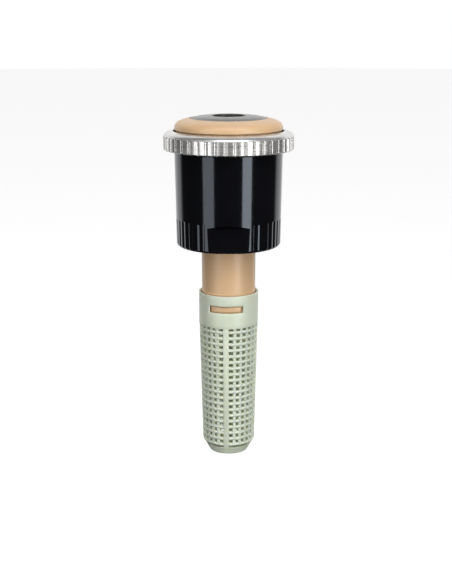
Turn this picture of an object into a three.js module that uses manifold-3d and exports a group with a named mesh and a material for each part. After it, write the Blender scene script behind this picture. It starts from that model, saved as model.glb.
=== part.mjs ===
// Multi-stream rotary nozzle for the riser of a pop-up sprinkler, with its inlet filter.
// Millimetres, +Z up. The origin is on the nozzle's axis, in the plane of the seat that the
// riser's end meets inside the threaded skirt. The filter hangs below it, the rotor is on top.

import * as THREE from "three";
import { mergeVertices } from "three/addons/utils/BufferGeometryUtils.js";
import Module from "manifold-3d";

const wasm = await Module();
wasm.setup();
const { degToRad, lerp, mapLinear } = THREE.MathUtils;

// ---------- driving dimensions ----------

const FIT = 0.25; // between a moving piece and the one that it runs in
const SNUG = 0.1; // between two pieces that are fixed together
const TRAVEL = 6; // how far the rotor rises when the water comes on
const THROTTLE_TRAVEL = 2; // how far two turns of the shaft lift the throttle

// Water's way: up the tube, through the arc valve, and out along an arc about THROAT and a lip
const THROAT = new THREE.Vector2(9.8, 7.9);
const MOUTH_SWEEP = 5.2;
const MOUTH_WALL = 1.3;
const DEFLECTOR_SWEEP = 6;
const LIP_ANGLE = degToRad(20);
const VALVE_R = 4.5;
const HELIX_RISE = 2.4; // of the arc valve's two edges, in one turn

// Black skirt, and the riser's thread in it: 5/8 inch, 28 turns to the inch
const SKIRT_TOP = 12.3;
const SKIRT_BOTTOM = -8.65;
const SKIRT_R_TOP = 12.05;
const SKIRT_R_BOTTOM = 11.66;
const SKIRT_BORE = 10;
const CAVITY_R = 10.8;
const FLOOR = 1.4;
const FLOOR_HOLE = 6.6;
const BOSS_R = 9.1;
const BOSS_BOTTOM = -8;
const THREAD_MAJOR_R = 8.05;
const THREAD_DEPTH = 0.45;
const THREAD_PITCH = 25.4 / 28;
const THREAD_RELIEF = 2.3; // plain length between the seat and the first turn
const GRIP_TOP = -2.5;
const GRIP_COUNT = 44;
const GRIP_DEPTH = 0.3;
const FLAT_FROM_AXIS = 10.8;
const FLAT_HALF_ANGLE = 24;

// Tan flow tube
const TUBE_R_TOP = 6.14;
const TUBE_R_END = 6.02;
const TUBE_BORE = 5.25;
const TUBE_END = -25.6;
const BELL_BORE = 6.45;
const BELL_FLOOR = THROAT.y - 3.3;
const BELL_TOP = THROAT.y + 0.1;
const FLANGE_R = 9.6;

// Inlet filter
const FILTER_RIM = -19.5;
const FILTER_RIM_R = 6.75;
const FILTER_WALL = 0.95;
const COLLAR_BOTTOM = -27;
const COLLAR_R = 6.7;
const COLLAR_BORE = 6.4;
const MESH_BOTTOM = -54.9;
const MESH_R_BOTTOM = 5.95;
const FILTER_BOTTOM = -57.5;
const FOOT_R = 4.5;
const FILTER_YAW = degToRad(-5.5); // the basket isn't in line with the flats
const RIB_COUNT = 4;
const COLUMNS = 7; // of openings between two ribs
const BANDS = 2; // of openings, one above the other
const SNAP_SLOT_LOW = -23.4;
const SNAP_SLOT_HIGH = -21.8;
const SNAP_SLOT_HALF_ANGLE = degToRad(35);

// Arc ring and its steel band
const BAND_TOP = 16.8;
const BAND_BOTTOM = 12.85;
const BAND_R = 14.5;
const BAND_BORE = 12.3;
const BAND_WALL = 0.3;
const KNURL_COUNT = 44;
const KNURL_HEIGHT = 0.25;
const SLEEVE_FOOT = THROAT.y - 2.8;
const SLEEVE_BORE = 5.2;
const SEAL_GROOVE = { r: 5.5, low: THROAT.y - 1.7, high: THROAT.y - 0.7 };

// Rotor
const RIM_R = 11.4;
const GROOVE_COUNT = 12;
const GROOVE_R = 0.45;
const CAP_R = 12;
const CAP_BOTTOM = 15.6;
const CAP_WALL = 0.95;
const DISC_R = 8.5;
const DISC_EDGE = 19.5;
const DISC_TOP = 20.05;
const DISC_THICKNESS = 0.7;
const RECESS_R = 3.7;
const CHAMBER_R = 6.9;
const CHAMBER_FLOOR = 14.1;
const CHAMBER_TOP = 16.3;
const LID_THICKNESS = 0.7;
const HOUSING_R = 8.4;

// Shaft, its bushes, and the spring in the stem
const SHAFT_R = 1.5;
const SHAFT_TOP = 17.2;
const SHAFT_END = -21.6;
const CLIP_GROOVE = -8.95;
const BUSH_BORE = 1.65;
const BUSH_R = 2.6;
const SEAL_R = 3;
const STEM_R = 3.3;
const STEM_TOP = THROAT.y - 0.6;
const STEM_END = -9.6;
const SPRING_BORE = 2.75;
const SPRING_TOP = STEM_TOP - 1.8;
const SPRING_END = -7.15;
const SPRING_WIRE_R = 0.28;
const SPRING_TURNS = 9;

// Throttle
const SEAT_BOTTOM = -3.2;
const CUP_R = 4.55;
const CUP_BORE = 3.6;
const CUP_TOP = SEAT_BOTTOM - 0.3 - TRAVEL - THROTTLE_TRAVEL;
const CUP_END = -20.5;
const KEY_INNER_R = 4.2;
const KEY_WIDTH = 1;

// Facets round a turned piece
const SMALL = 20;
const MEDIUM = 28;
const LARGE = 44;

// ---------- joining and cutting ----------

function solidOf(shape) {
  if (!shape.isBufferGeometry) {
    return shape;
  }
  const bare = shape.clone();
  bare.deleteAttribute("normal");
  bare.deleteAttribute("uv");
  const merged = mergeVertices(bare, 1e-4);
  return new wasm.Manifold(
    new wasm.Mesh({
      numProp: 3,
      vertProperties: new Float32Array(merged.attributes.position.array),
      triVerts: new Uint32Array(merged.index.array),
    }),
  );
}

const join = (...shapes) => shapes.flat().map(solidOf).reduce((whole, part) => whole.add(part));
const cut = (...shapes) => shapes.flat().map(solidOf).reduce((whole, tool) => whole.subtract(tool));

function geometryOf(solid) {
  const mesh = solid.getMesh();
  const geometry = new THREE.BufferGeometry();
  geometry.setAttribute("position", new THREE.BufferAttribute(mesh.vertProperties, mesh.numProp));
  geometry.setIndex(new THREE.BufferAttribute(mesh.triVerts, 1));
  geometry.computeVertexNormals();
  return geometry;
}

// ---------- shapes about the axis ----------

// A turned piece. Its outline is a closed loop of [radius, height], outer wall first, going down.
function turned(outline, segments = MEDIUM) {
  const loop = [...outline, outline[0]].reverse();
  const profile = loop.map(([r, z]) => new THREE.Vector2(r, z));
  return new THREE.LatheGeometry(profile, segments).rotateX(Math.PI / 2);
}

function sleeve(inner, outer, low, high, segments = SMALL) {
  return turned([[inner, high], [outer, high], [outer, low], [inner, low]], segments);
}

const sealRing = (radius, section, z) =>
  new THREE.TorusGeometry(radius, section, 6, SMALL).translate(0, 0, z);

const block = (width, depth, low, high, x) =>
  new THREE.BoxGeometry(width, depth, high - low).translate(x, 0, (low + high) / 2);

// A bar bent round the axis. "rise" is how much higher its far end is, top and bottom.
function bentBar({ inner, outer, low, high, from = 0, turn, steps, lowRise = 0, highRise = 0 }) {
  const bar = new THREE.BoxGeometry(outer - inner, 1, high - low, 1, steps, 1);
  const points = bar.attributes.position;
  for (let i = 0; i < points.count; i++) {
    const along = points.getY(i) + 0.5;
    const angle = from + along * turn;
    const radius = points.getX(i) + (inner + outer) / 2;
    const isTop = points.getZ(i) > 0;
    const z = isTop ? high + along * highRise : low + along * lowRise;
    points.setXYZ(i, radius * Math.cos(angle), radius * Math.sin(angle), z);
  }
  return bar;
}

// Copies of one shape, spaced evenly round the axis, without those whose bearing is left out.
function around(geometry, count, isLeftOut = () => false) {
  const bearings = Array.from({ length: count }, (_, i) => (2 * Math.PI * i) / count);
  const kept = bearings.filter((bearing) => !isLeftOut(bearing));
  return kept.map((bearing) => geometry.clone().rotateZ(bearing));
}

// The arc about THROAT, from its lowest point, beside the throat, up to where the lip starts.
function sweep(radius, steps) {
  return Array.from({ length: steps + 1 }, (_, i) => {
    const angle = lerp(Math.PI, Math.PI / 2 + LIP_ANGLE, i / steps);
    return [THROAT.x + radius * Math.cos(angle), THROAT.y + radius * Math.sin(angle)];
  });
}

function lipAt(radius, sweepRadius) {
  const [startR, startZ] = sweep(sweepRadius, 1)[1];
  return [radius, startZ + (radius - startR) * Math.tan(LIP_ANGLE)];
}

// ---------- finishes and nodes ----------

const finish = (color, roughness, metalness = 0) =>
  new THREE.MeshStandardMaterial({ color, roughness, metalness });
const blackPlastic = finish(0x0b0c0f, 0.22);
const tanPlastic = finish(0xd3a06b, 0.42);
const greenPlastic = finish(0xc4d6b0, 0.5);
const greyPlastic = finish(0x3d3c3a, 0.45);
const whitePlastic = finish(0xd9d6cc, 0.4);
const rubber = finish(0x141414, 0.8);
const steel = finish(0xb9b7b2, 0.25, 1);

const nozzle = new THREE.Group();

function add(name, shape, material) {
  const mesh = new THREE.Mesh(geometryOf(solidOf(shape)), material);
  mesh.name = name;
  nozzle.add(mesh);
}

// ---------- black skirt ----------

function skirtShell() {
  const round = 0.45;
  const bead = { r: CAVITY_R - 0.3, low: 9.1, high: 9.6 };
  return turned(
    [
      [CAVITY_R, SKIRT_TOP],
      [SKIRT_R_TOP, SKIRT_TOP],
      [SKIRT_R_BOTTOM, SKIRT_BOTTOM + round],
      [SKIRT_R_BOTTOM - round, SKIRT_BOTTOM],
      [SKIRT_BORE, SKIRT_BOTTOM],
      [SKIRT_BORE, 0],
      [BOSS_R, 0],
      [BOSS_R, BOSS_BOTTOM],
      [THREAD_MAJOR_R, BOSS_BOTTOM],
      [THREAD_MAJOR_R, 0],
      [FLOOR_HOLE, 0],
      [FLOOR_HOLE, FLOOR],
      [CAVITY_R, FLOOR],
      [CAVITY_R, bead.low],
      [bead.r, bead.low],
      [bead.r, bead.high],
      [CAVITY_R, bead.high],
    ],
    LARGE,
  );
}

function riserThread() {
  const height = THREAD_PITCH / 2;
  const low = BOSS_BOTTOM + 0.2;
  const turns = (-THREAD_RELIEF - height - low) / THREAD_PITCH;
  return bentBar({
    inner: THREAD_MAJOR_R - THREAD_DEPTH,
    outer: THREAD_MAJOR_R + 0.3,
    low,
    high: low + height,
    turn: 2 * Math.PI * turns,
    steps: Math.round(10 * turns),
    lowRise: THREAD_PITCH * turns,
    highRise: THREAD_PITCH * turns,
  });
}

function gripFlute() {
  const width = 1;
  const share = (GRIP_TOP - SKIRT_BOTTOM) / (SKIRT_TOP - SKIRT_BOTTOM);
  const surface = lerp(SKIRT_R_BOTTOM, SKIRT_R_TOP, share);
  const bar = block(width, width, SKIRT_BOTTOM - 1, GRIP_TOP, 0);
  return bar.rotateZ(Math.PI / 4).translate(surface - GRIP_DEPTH + width * Math.SQRT1_2, 0, 0);
}

function wrenchFlat() {
  const ledgeRise = 1.4;
  const ledgeLow = GRIP_TOP - 0.8;
  const side = new THREE.Shape([
    new THREE.Vector2(FLAT_FROM_AXIS, SKIRT_BOTTOM - 1),
    new THREE.Vector2(SKIRT_R_TOP + 1, SKIRT_BOTTOM - 1),
    new THREE.Vector2(SKIRT_R_TOP + 1, ledgeLow + ledgeRise),
    new THREE.Vector2(FLAT_FROM_AXIS, ledgeLow),
  ]);
  const width = SKIRT_R_TOP;
  const bar = new THREE.ExtrudeGeometry(side, { depth: width, bevelEnabled: false });
  return bar.translate(0, 0, -width / 2).rotateX(Math.PI / 2).rotateZ(Math.PI / 2);
}

function bodyShell() {
  const web = block(SKIRT_BORE - BOSS_R + 0.3, 1, BOSS_BOTTOM + 0.8, 0.1, (SKIRT_BORE + BOSS_R) / 2);
  const clear = Math.cos(degToRad(FLAT_HALF_ANGLE + 4));
  const isOnFlat = (bearing) => Math.abs(Math.sin(bearing)) > clear;
  return cut(
    join(skirtShell(), around(web, 8), riserThread()),
    around(gripFlute(), GRIP_COUNT, isOnFlat),
    around(wrenchFlat(), 2),
  );
}

// ---------- tan flow tube ----------

function flowTube() {
  const flangeLow = FLOOR + FIT;
  const flangeHigh = flangeLow + 1.2;
  const pipe = turned([
    [BELL_BORE, BELL_TOP],
    [BELL_BORE + 0.9, BELL_TOP],
    [BELL_BORE + 0.9, flangeHigh],
    [FLANGE_R, flangeHigh],
    [FLANGE_R, flangeLow],
    [TUBE_R_TOP, flangeLow],
    [TUBE_R_END, TUBE_END + 0.4],
    [TUBE_R_END - 0.3, TUBE_END],
    [TUBE_BORE, TUBE_END],
    [TUBE_BORE, BELL_FLOOR],
    [BELL_BORE, BELL_FLOOR],
  ]);
  const keyOuterR = TUBE_BORE + 0.2;
  const keyTop = CUP_TOP + 3.4;
  const key = block(keyOuterR - KEY_INNER_R, KEY_WIDTH, TUBE_END + 1, keyTop, (keyOuterR + KEY_INNER_R) / 2);
  return join(pipe, around(key, 2));
}

// ---------- stem: hub with the spring in it, helical edge, spokes, throttle seat ----------

function nozzleStem() {
  const hub = turned(
    [
      [SHAFT_R + FIT, STEM_TOP],
      [STEM_R, STEM_TOP],
      [STEM_R, STEM_END],
      [SPRING_BORE, STEM_END],
      [SPRING_BORE, SPRING_TOP + FIT],
      [SHAFT_R + FIT, SPRING_TOP + FIT],
    ],
    SMALL,
  );
  const helix = bentBar({
    inner: STEM_R - 0.2,
    outer: VALVE_R,
    low: STEM_TOP - 4,
    high: STEM_TOP - 2.8,
    turn: 2 * Math.PI * 0.97,
    steps: SMALL,
    highRise: HELIX_RISE,
  });
  const seatR = TUBE_BORE - 0.2;
  const seatTop = SEAT_BOTTOM + 1.6;
  const seat = sleeve(VALVE_R - 0.3, seatR, SEAT_BOTTOM, seatTop);
  const spokeInnerR = STEM_R - 0.2;
  const spokeOuterR = seatR - 0.1;
  const spokeMiddle = (spokeInnerR + spokeOuterR) / 2;
  const spoke = block(spokeOuterR - spokeInnerR, 0.8, SEAT_BOTTOM, seatTop + 0.6, spokeMiddle);
  return join(hub, helix, seat, around(spoke, 4));
}

function returnSpring() {
  const coilR = (SHAFT_R + SPRING_BORE) / 2 + 0.08;
  class Coil extends THREE.Curve {
    getPoint(share, target = new THREE.Vector3()) {
      const angle = 2 * Math.PI * SPRING_TURNS * share;
      const z = lerp(SPRING_END + SPRING_WIRE_R, SPRING_TOP - SPRING_WIRE_R, share);
      return target.set(coilR * Math.cos(angle), coilR * Math.sin(angle), z);
    }
  }
  const wire = new THREE.Shape(new THREE.EllipseCurve(0, 0, SPRING_WIRE_R, SPRING_WIRE_R).getPoints(5));
  return new THREE.ExtrudeGeometry(wire, {
    steps: SPRING_TURNS * 11,
    extrudePath: new Coil(),
    bevelEnabled: false,
  });
}

// ---------- inlet filter ----------

function filterShell() {
  const floor = 1.3;
  return turned(
    [
      [COLLAR_BORE, FILTER_RIM],
      [FILTER_RIM_R - 0.1, FILTER_RIM],
      [FILTER_RIM_R, FILTER_RIM - 0.2],
      [COLLAR_R, COLLAR_BOTTOM],
      [MESH_R_BOTTOM, MESH_BOTTOM],
      [FOOT_R + 0.75, FILTER_BOTTOM + 1.6],
      [FOOT_R, FILTER_BOTTOM + 0.4],
      [FOOT_R - 0.2, FILTER_BOTTOM],
      [0, FILTER_BOTTOM],
      [0, FILTER_BOTTOM + floor],
      [FOOT_R - 0.6, FILTER_BOTTOM + floor],
      [MESH_R_BOTTOM - FILTER_WALL, MESH_BOTTOM + 0.6],
      [COLLAR_R - FILTER_WALL, COLLAR_BOTTOM],
      [COLLAR_BORE, COLLAR_BOTTOM + 1],
    ],
    RIB_COUNT * (COLUMNS + 1),
  );
}

function filterBasket() {
  const positions = RIB_COUNT * (COLUMNS + 1);
  const step = (2 * Math.PI) / positions;
  const isRib = (bearing) => Math.round(bearing / step) % (COLUMNS + 1) === 0;
  const bandHeight = (COLLAR_BOTTOM - MESH_BOTTOM - 0.8) / BANDS;
  const openings = Array.from({ length: BANDS }, (_, band) => {
    const high = COLLAR_BOTTOM - 0.4 - band * bandHeight;
    const surface = mapLinear(high - bandHeight / 2, COLLAR_BOTTOM, MESH_BOTTOM, COLLAR_R, MESH_R_BOTTOM);
    const opening = block(2.6, 0.66, high - bandHeight + 0.8, high, surface - 0.4);
    return around(opening, positions, isRib);
  });
  const slot = bentBar({
    inner: COLLAR_BORE - 0.6,
    outer: FILTER_RIM_R + 0.6,
    low: SNAP_SLOT_LOW,
    high: SNAP_SLOT_HIGH,
    from: Math.PI / 2 - SNAP_SLOT_HALF_ANGLE,
    turn: 2 * SNAP_SLOT_HALF_ANGLE,
    steps: 6,
  });
  const shell = filterShell().rotateZ(step / 2);
  return geometryOf(cut(shell, openings.flat(), around(slot, 2))).rotateZ(FILTER_YAW);
}

// ---------- arc ring and its steel band ----------

function arcSleeve() {
  const mouth = sweep(MOUTH_SWEEP, 4);
  const back = sweep(MOUTH_SWEEP - MOUTH_WALL, 2).slice(1);
  const outerR = BAND_R - KNURL_HEIGHT - BAND_WALL - SNUG;
  const skirtR = CAVITY_R - 0.55;
  const beadR = CAVITY_R - 0.2;
  const wallR = 9.3;
  const throatR = 6;
  const ring = turned(
    [
      [BAND_BORE + SNUG, BAND_TOP - 0.5],
      [13.4, BAND_TOP - 0.75],
      [outerR, BAND_TOP - 1.2],
      [outerR, BAND_BOTTOM],
      [skirtR, BAND_BOTTOM],
      [skirtR, 8.8],
      [beadR, 8.6],
      [beadR, 8],
      [wallR, 8],
      lipAt(wallR, MOUTH_SWEEP - MOUTH_WALL),
      ...back.reverse(),
      [throatR, THROAT.y],
      [throatR, SEAL_GROOVE.high],
      [SEAL_GROOVE.r, SEAL_GROOVE.high],
      [SEAL_GROOVE.r, SEAL_GROOVE.low],
      [throatR, SEAL_GROOVE.low],
      [throatR, SLEEVE_FOOT],
      [SLEEVE_BORE, SLEEVE_FOOT],
      [SLEEVE_BORE, THROAT.y - 0.3],
      [THROAT.x - MOUTH_SWEEP, THROAT.y - 0.3],
      ...mouth,
      lipAt(BAND_BORE + SNUG, MOUTH_SWEEP),
    ],
    MEDIUM,
  );
  const helix = bentBar({
    inner: VALVE_R + FIT,
    outer: SLEEVE_BORE + 0.15,
    low: SLEEVE_FOOT - 0.2,
    high: THROAT.y - 0.2,
    turn: 2 * Math.PI * 0.97,
    steps: SMALL,
    lowRise: HELIX_RISE,
  });
  return join(ring, helix);
}

function gripBand() {
  const wallR = BAND_R - KNURL_HEIGHT;
  const band = turned(
    [
      [BAND_BORE, BAND_TOP],
      [13.7, BAND_TOP - 0.3],
      [14.05, BAND_TOP - 0.6],
      [wallR, BAND_TOP - 1.1],
      [wallR, BAND_BOTTOM],
      [wallR - BAND_WALL, BAND_BOTTOM],
      [wallR - BAND_WALL, BAND_TOP - 1.2],
      [13.8, BAND_TOP - 0.85],
      [13.5, BAND_TOP - 0.6],
      [BAND_BORE, BAND_TOP - 0.35],
    ],
    KNURL_COUNT,
  );
  const knurlTop = BAND_TOP - 1.15;
  const knurlWidth = KNURL_HEIGHT + 0.15;
  const knurl = block(knurlWidth, 1.5, BAND_BOTTOM + 0.2, knurlTop, BAND_R - knurlWidth / 2);
  const halfStep = Math.PI / KNURL_COUNT;
  return join(band, around(knurl.rotateZ(halfStep), KNURL_COUNT));
}

// ---------- rotor ----------

function rotorCap() {
  const boreR = DISC_R + 0.12;
  const collarR = HOUSING_R + 1.2;
  const ledge = { r: 8, low: 17.35, high: DISC_EDGE - DISC_THICKNESS - SNUG };
  return turned([
    [boreR, DISC_EDGE],
    [9.55, DISC_EDGE - 0.2],
    [10.8, DISC_EDGE - 0.55],
    [11.3, DISC_EDGE - 0.8],
    [11.65, DISC_EDGE - 1.1],
    [11.9, DISC_EDGE - 1.5],
    [CAP_R, DISC_EDGE - 1.9],
    [CAP_R, CAP_BOTTOM],
    [CAP_R - CAP_WALL, CAP_BOTTOM],
    [CAP_R - CAP_WALL, 17.2],
    [10.4, 18.2],
    [collarR, 18.2],
    [collarR, CAP_BOTTOM],
    [HOUSING_R + 0.2, CAP_BOTTOM],
    [HOUSING_R + 0.2, ledge.low],
    [ledge.r, ledge.low],
    [ledge.r, ledge.high],
    [boreR, ledge.high],
  ]);
}

function coverDisc() {
  return turned([
    [RECESS_R, DISC_TOP],
    [RECESS_R + 0.5, DISC_TOP],
    [DISC_R, DISC_EDGE],
    [DISC_R, DISC_EDGE - DISC_THICKNESS],
    [RECESS_R, DISC_TOP - DISC_THICKNESS],
  ]);
}

function damperLid() {
  const low = CHAMBER_TOP + SNUG;
  const high = low + LID_THICKNESS;
  const boreR = BUSH_R + SNUG;
  const guideTop = DISC_TOP - DISC_THICKNESS - FIT;
  return turned(
    [
      [RECESS_R, guideTop],
      [RECESS_R + 1, guideTop],
      [RECESS_R + 1, high],
      [HOUSING_R - SNUG, high],
      [HOUSING_R - SNUG, low],
      [boreR, low],
      [boreR, high],
      [RECESS_R, high],
    ],
    SMALL,
  );
}

function streamGroove() {
  const path = sweep(DEFLECTOR_SWEEP, 5);
  path.unshift([path[0][0], THROAT.y - 1]);
  path.push(lipAt(RIM_R + 1, DEFLECTOR_SWEEP));
  const curve = new THREE.CatmullRomCurve3(
    path.map(([r, z], i) => {
      const bearing = 0.6 * (i / path.length) ** 2;
      return new THREE.Vector3(r * Math.cos(bearing), r * Math.sin(bearing), z);
    }),
  );
  const section = new THREE.Shape(new THREE.EllipseCurve(0, 0, GROOVE_R, GROOVE_R).getPoints(4));
  return new THREE.ExtrudeGeometry(section, {
    steps: 6,
    extrudePath: curve,
    bevelEnabled: false,
  });
}

function rotorPlate() {
  const rim = lipAt(RIM_R, DEFLECTOR_SWEEP);
  const rimTop = rim[1] + 0.5;
  const sealSeat = { r: CHAMBER_R + 0.8, z: CHAMBER_TOP - 0.7 };
  const bushR = BUSH_R + SNUG;
  const sealR = SEAL_R + SNUG;
  const bushStep = CHAMBER_FLOOR - 2.25;
  const plate = turned([
    [sealSeat.r, CHAMBER_TOP],
    [HOUSING_R, CHAMBER_TOP],
    [HOUSING_R, rimTop],
    [RIM_R, rimTop],
    rim,
    ...sweep(DEFLECTOR_SWEEP, 6).reverse(),
    [sealR, THROAT.y],
    [sealR, bushStep],
    [bushR, bushStep],
    [bushR, CHAMBER_FLOOR],
    [CHAMBER_R, CHAMBER_FLOOR],
    [CHAMBER_R, sealSeat.z],
    [sealSeat.r, sealSeat.z],
  ]);
  return cut(plate, around(streamGroove(), GROOVE_COUNT));
}

function lipSeal() {
  const high = CHAMBER_FLOOR - 2.4;
  const low = high - 1.8;
  return turned(
    [
      [BUSH_BORE, high],
      [SEAL_R, high],
      [SEAL_R, low],
      [SEAL_R - 0.5, low],
      [2.3, high - 0.8],
      [1.9, high - 0.8],
      [BUSH_BORE, low + 0.2],
    ],
    SMALL,
  );
}

// ---------- adjusting shaft and the damper's drum on it ----------

function adjustingShaft() {
  const grooveR = SHAFT_R - 0.25;
  const rod = turned(
    [
      [0, SHAFT_TOP],
      [SHAFT_R - 0.2, SHAFT_TOP],
      [SHAFT_R, SHAFT_TOP - 0.2],
      [SHAFT_R, CLIP_GROOVE + 0.2],
      [grooveR, CLIP_GROOVE + 0.2],
      [grooveR, CLIP_GROOVE - 0.2],
      [SHAFT_R, CLIP_GROOVE - 0.2],
      [SHAFT_R, SHAFT_END + 0.3],
      [SHAFT_R - 0.3, SHAFT_END],
      [0, SHAFT_END],
    ],
    SMALL,
  );
  return cut(rod, block(3 * SHAFT_R, 0.6, SHAFT_TOP - 0.9, SHAFT_TOP + 1, 0));
}

function damperStator() {
  const low = CHAMBER_FLOOR + 0.3;
  const drumR = CHAMBER_R - 0.6;
  const boreR = SHAFT_R + SNUG;
  return turned(
    [
      [boreR, CHAMBER_TOP - 0.2],
      [2.9, CHAMBER_TOP - 0.2],
      [2.9, low + 0.7],
      [drumR - 1.5, low + 0.7],
      [drumR - 1.5, CHAMBER_TOP - 0.5],
      [drumR, CHAMBER_TOP - 0.5],
      [drumR, low],
      [boreR, low],
    ],
    SMALL,
  );
}

function shaftClip() {
  const clipR = SHAFT_R + 0.9;
  const ring = sleeve(SHAFT_R - 0.15, clipR, CLIP_GROOVE - 0.13, CLIP_GROOVE + 0.13);
  return cut(ring, block(clipR, 1.8, CLIP_GROOVE - 1, CLIP_GROOVE + 1, clipR / 2 + 0.3));
}

// ---------- throttle ----------

function throttleCup() {
  const web = 1.5;
  const threadR = SHAFT_R + 0.12;
  const cup = turned([
    [CUP_BORE, CUP_TOP],
    [CUP_R - 0.25, CUP_TOP],
    [CUP_R, CUP_TOP - 0.3],
    [CUP_R, CUP_END],
    [threadR, CUP_END],
    [threadR, CUP_END + web],
    [CUP_BORE, CUP_END + web],
  ]);
  const keyway = block(1, KEY_WIDTH + 2 * FIT, CUP_END - 1, CUP_TOP + 1, KEY_INNER_R - FIT + 0.5);
  return cut(cup, around(keyway, 2));
}

// ---------- the nozzle ----------

const upperBushLow = CHAMBER_TOP + SNUG;
const lowerBushHigh = CHAMBER_FLOOR - FIT;
const springSeatHigh = SPRING_END - FIT;

add("body_shell", bodyShell(), blackPlastic);
add("flow_tube", flowTube(), tanPlastic);
add("nozzle_stem", nozzleStem(), whitePlastic);
add("return_spring", returnSpring(), steel);

add("filter_basket", filterBasket(), greenPlastic);

add("arc_sleeve", arcSleeve(), blackPlastic);
add("grip_band", gripBand(), steel);
add("sleeve_seal", sealRing(5.95, 0.4, (SEAL_GROOVE.low + SEAL_GROOVE.high) / 2), rubber);

add("rotor_cap", rotorCap(), tanPlastic);
add("cover_disc", coverDisc(), greyPlastic);
add("damper_lid", damperLid(), greyPlastic);
add("upper_bush", sleeve(BUSH_BORE, BUSH_R, upperBushLow, upperBushLow + LID_THICKNESS), whitePlastic);
add("lid_seal", sealRing(CHAMBER_R + 0.4, 0.3, CHAMBER_TOP - 0.33), rubber);
add("rotor_plate", rotorPlate(), greyPlastic);
add("lower_bush", sleeve(BUSH_BORE, BUSH_R, lowerBushHigh - 2, lowerBushHigh), whitePlastic);
add("lip_seal", lipSeal(), rubber);
add("seal_retainer", sleeve(1.9, SEAL_R, THROAT.y + 0.3, THROAT.y + 1.75), whitePlastic);

add("adjusting_shaft", adjustingShaft(), steel);
add("damper_stator", damperStator(), whitePlastic);
add("shaft_clip", shaftClip(), steel);
add("spring_seat", sleeve(BUSH_BORE, BUSH_R - 0.05, springSeatHigh - 1, springSeatHigh), whitePlastic);
add("throttle_cup", throttleCup(), whitePlastic);

export default nozzle;
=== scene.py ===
import math

import bmesh
import bpy
from mathutils import Matrix, Vector


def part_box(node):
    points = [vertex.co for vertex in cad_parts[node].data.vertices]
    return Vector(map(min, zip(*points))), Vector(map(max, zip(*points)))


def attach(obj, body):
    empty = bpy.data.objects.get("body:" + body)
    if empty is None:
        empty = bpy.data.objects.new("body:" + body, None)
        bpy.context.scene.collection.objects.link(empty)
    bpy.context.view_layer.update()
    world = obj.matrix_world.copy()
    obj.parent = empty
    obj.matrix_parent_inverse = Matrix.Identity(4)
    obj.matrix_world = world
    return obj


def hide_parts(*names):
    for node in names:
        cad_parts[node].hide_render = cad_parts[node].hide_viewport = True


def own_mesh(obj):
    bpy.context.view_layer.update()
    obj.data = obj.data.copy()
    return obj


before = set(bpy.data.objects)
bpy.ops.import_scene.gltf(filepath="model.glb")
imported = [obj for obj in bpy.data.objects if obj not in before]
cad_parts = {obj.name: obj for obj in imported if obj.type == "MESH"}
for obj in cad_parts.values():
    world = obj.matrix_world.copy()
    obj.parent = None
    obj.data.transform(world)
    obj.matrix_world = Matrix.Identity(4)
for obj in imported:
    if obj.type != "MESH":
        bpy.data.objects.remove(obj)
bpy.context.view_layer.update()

# ---------------------------------------------------------------------------------------------
# Camera. It stands in front of the nozzle at about an arm's length and looks a little down, so
# that the rims show as flat ellipses and the recess on top can just be seen.

MM = 0.001
camera_distance = 255 * MM
camera_height = 42.65 * MM
camera_data = bpy.data.cameras.new("camera")
camera_data.sensor_width = 36
camera_data.lens = 70.9
camera_data.shift_x = -0.00445
camera_data.clip_start = 5 * MM
camera = bpy.data.objects.new("camera", camera_data)
camera.location = (0, -camera_distance, camera_height)
camera.rotation_euler = (math.radians(90 - 13.8), 0, 0)
bpy.context.scene.collection.objects.link(camera)
bpy.context.scene.camera = camera

# ---------------------------------------------------------------------------------------------
# Studio. A pale floor well under the nozzle, a white backdrop behind it and a dark room in
# front. Two tall soft boxes stand left and right of the camera, the right one nearer and
# brighter, and a wide soft one hangs over the camera.

floor_height = -260 * MM
floor_mesh = bpy.data.meshes.new("floor")
floor_form = bmesh.new()
bmesh.ops.create_circle(floor_form, cap_ends=True, segments=64, radius=6)
floor_form.to_mesh(floor_mesh)
floor_form.free()
floor = bpy.data.objects.new("floor", floor_mesh)
floor.location = (0, 0, floor_height)
floor.visible_diffuse = False
floor.visible_glossy = False
bpy.context.scene.collection.objects.link(floor)

floor_paint = bpy.data.materials.new("pale_floor")
floor_paint.use_nodes = True
floor_shader = floor_paint.node_tree.nodes["Principled BSDF"]
floor_shader.inputs["Base Color"].default_value = (0.86, 0.86, 0.86, 1)
floor_shader.inputs["Roughness"].default_value = 0.9
floor_shader.inputs["Specular IOR Level"].default_value = 0
floor_shader.inputs["Emission Color"].default_value = (1, 1, 1, 1)
floor_shader.inputs["Emission Strength"].default_value = 0.75
floor_mesh.materials.append(floor_paint)

room = bpy.data.worlds.new("room")
room.use_nodes = True
bpy.context.scene.world = room
room_nodes, room_links = room.node_tree.nodes, room.node_tree.links
room_direction = room_nodes.new("ShaderNodeTexCoord")
room_split = room_nodes.new("ShaderNodeSeparateXYZ")
room_wall = room_nodes.new("ShaderNodeMapRange")
room_wall.interpolation_type = "SMOOTHSTEP"
room_wall.inputs["From Min"].default_value = 0.42
room_wall.inputs["From Max"].default_value = 0.62
room_wall.inputs["To Min"].default_value = 0.035
room_wall.inputs["To Max"].default_value = 1.0
room_depth = room_nodes.new("ShaderNodeMapRange")
room_depth.interpolation_type = "SMOOTHSTEP"
room_depth.inputs["From Min"].default_value = -0.75
room_depth.inputs["From Max"].default_value = -0.25
room_depth.inputs["To Min"].default_value = 0.25
room_depth.inputs["To Max"].default_value = 1.0
room_shade = room_nodes.new("ShaderNodeMath")
room_shade.operation = "MULTIPLY"
room_ray = room_nodes.new("ShaderNodeLightPath")
room_bright = room_nodes.new("ShaderNodeMath")
room_bright.operation = "MAXIMUM"
room_links.new(room_direction.outputs["Generated"], room_split.inputs[0])
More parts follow.
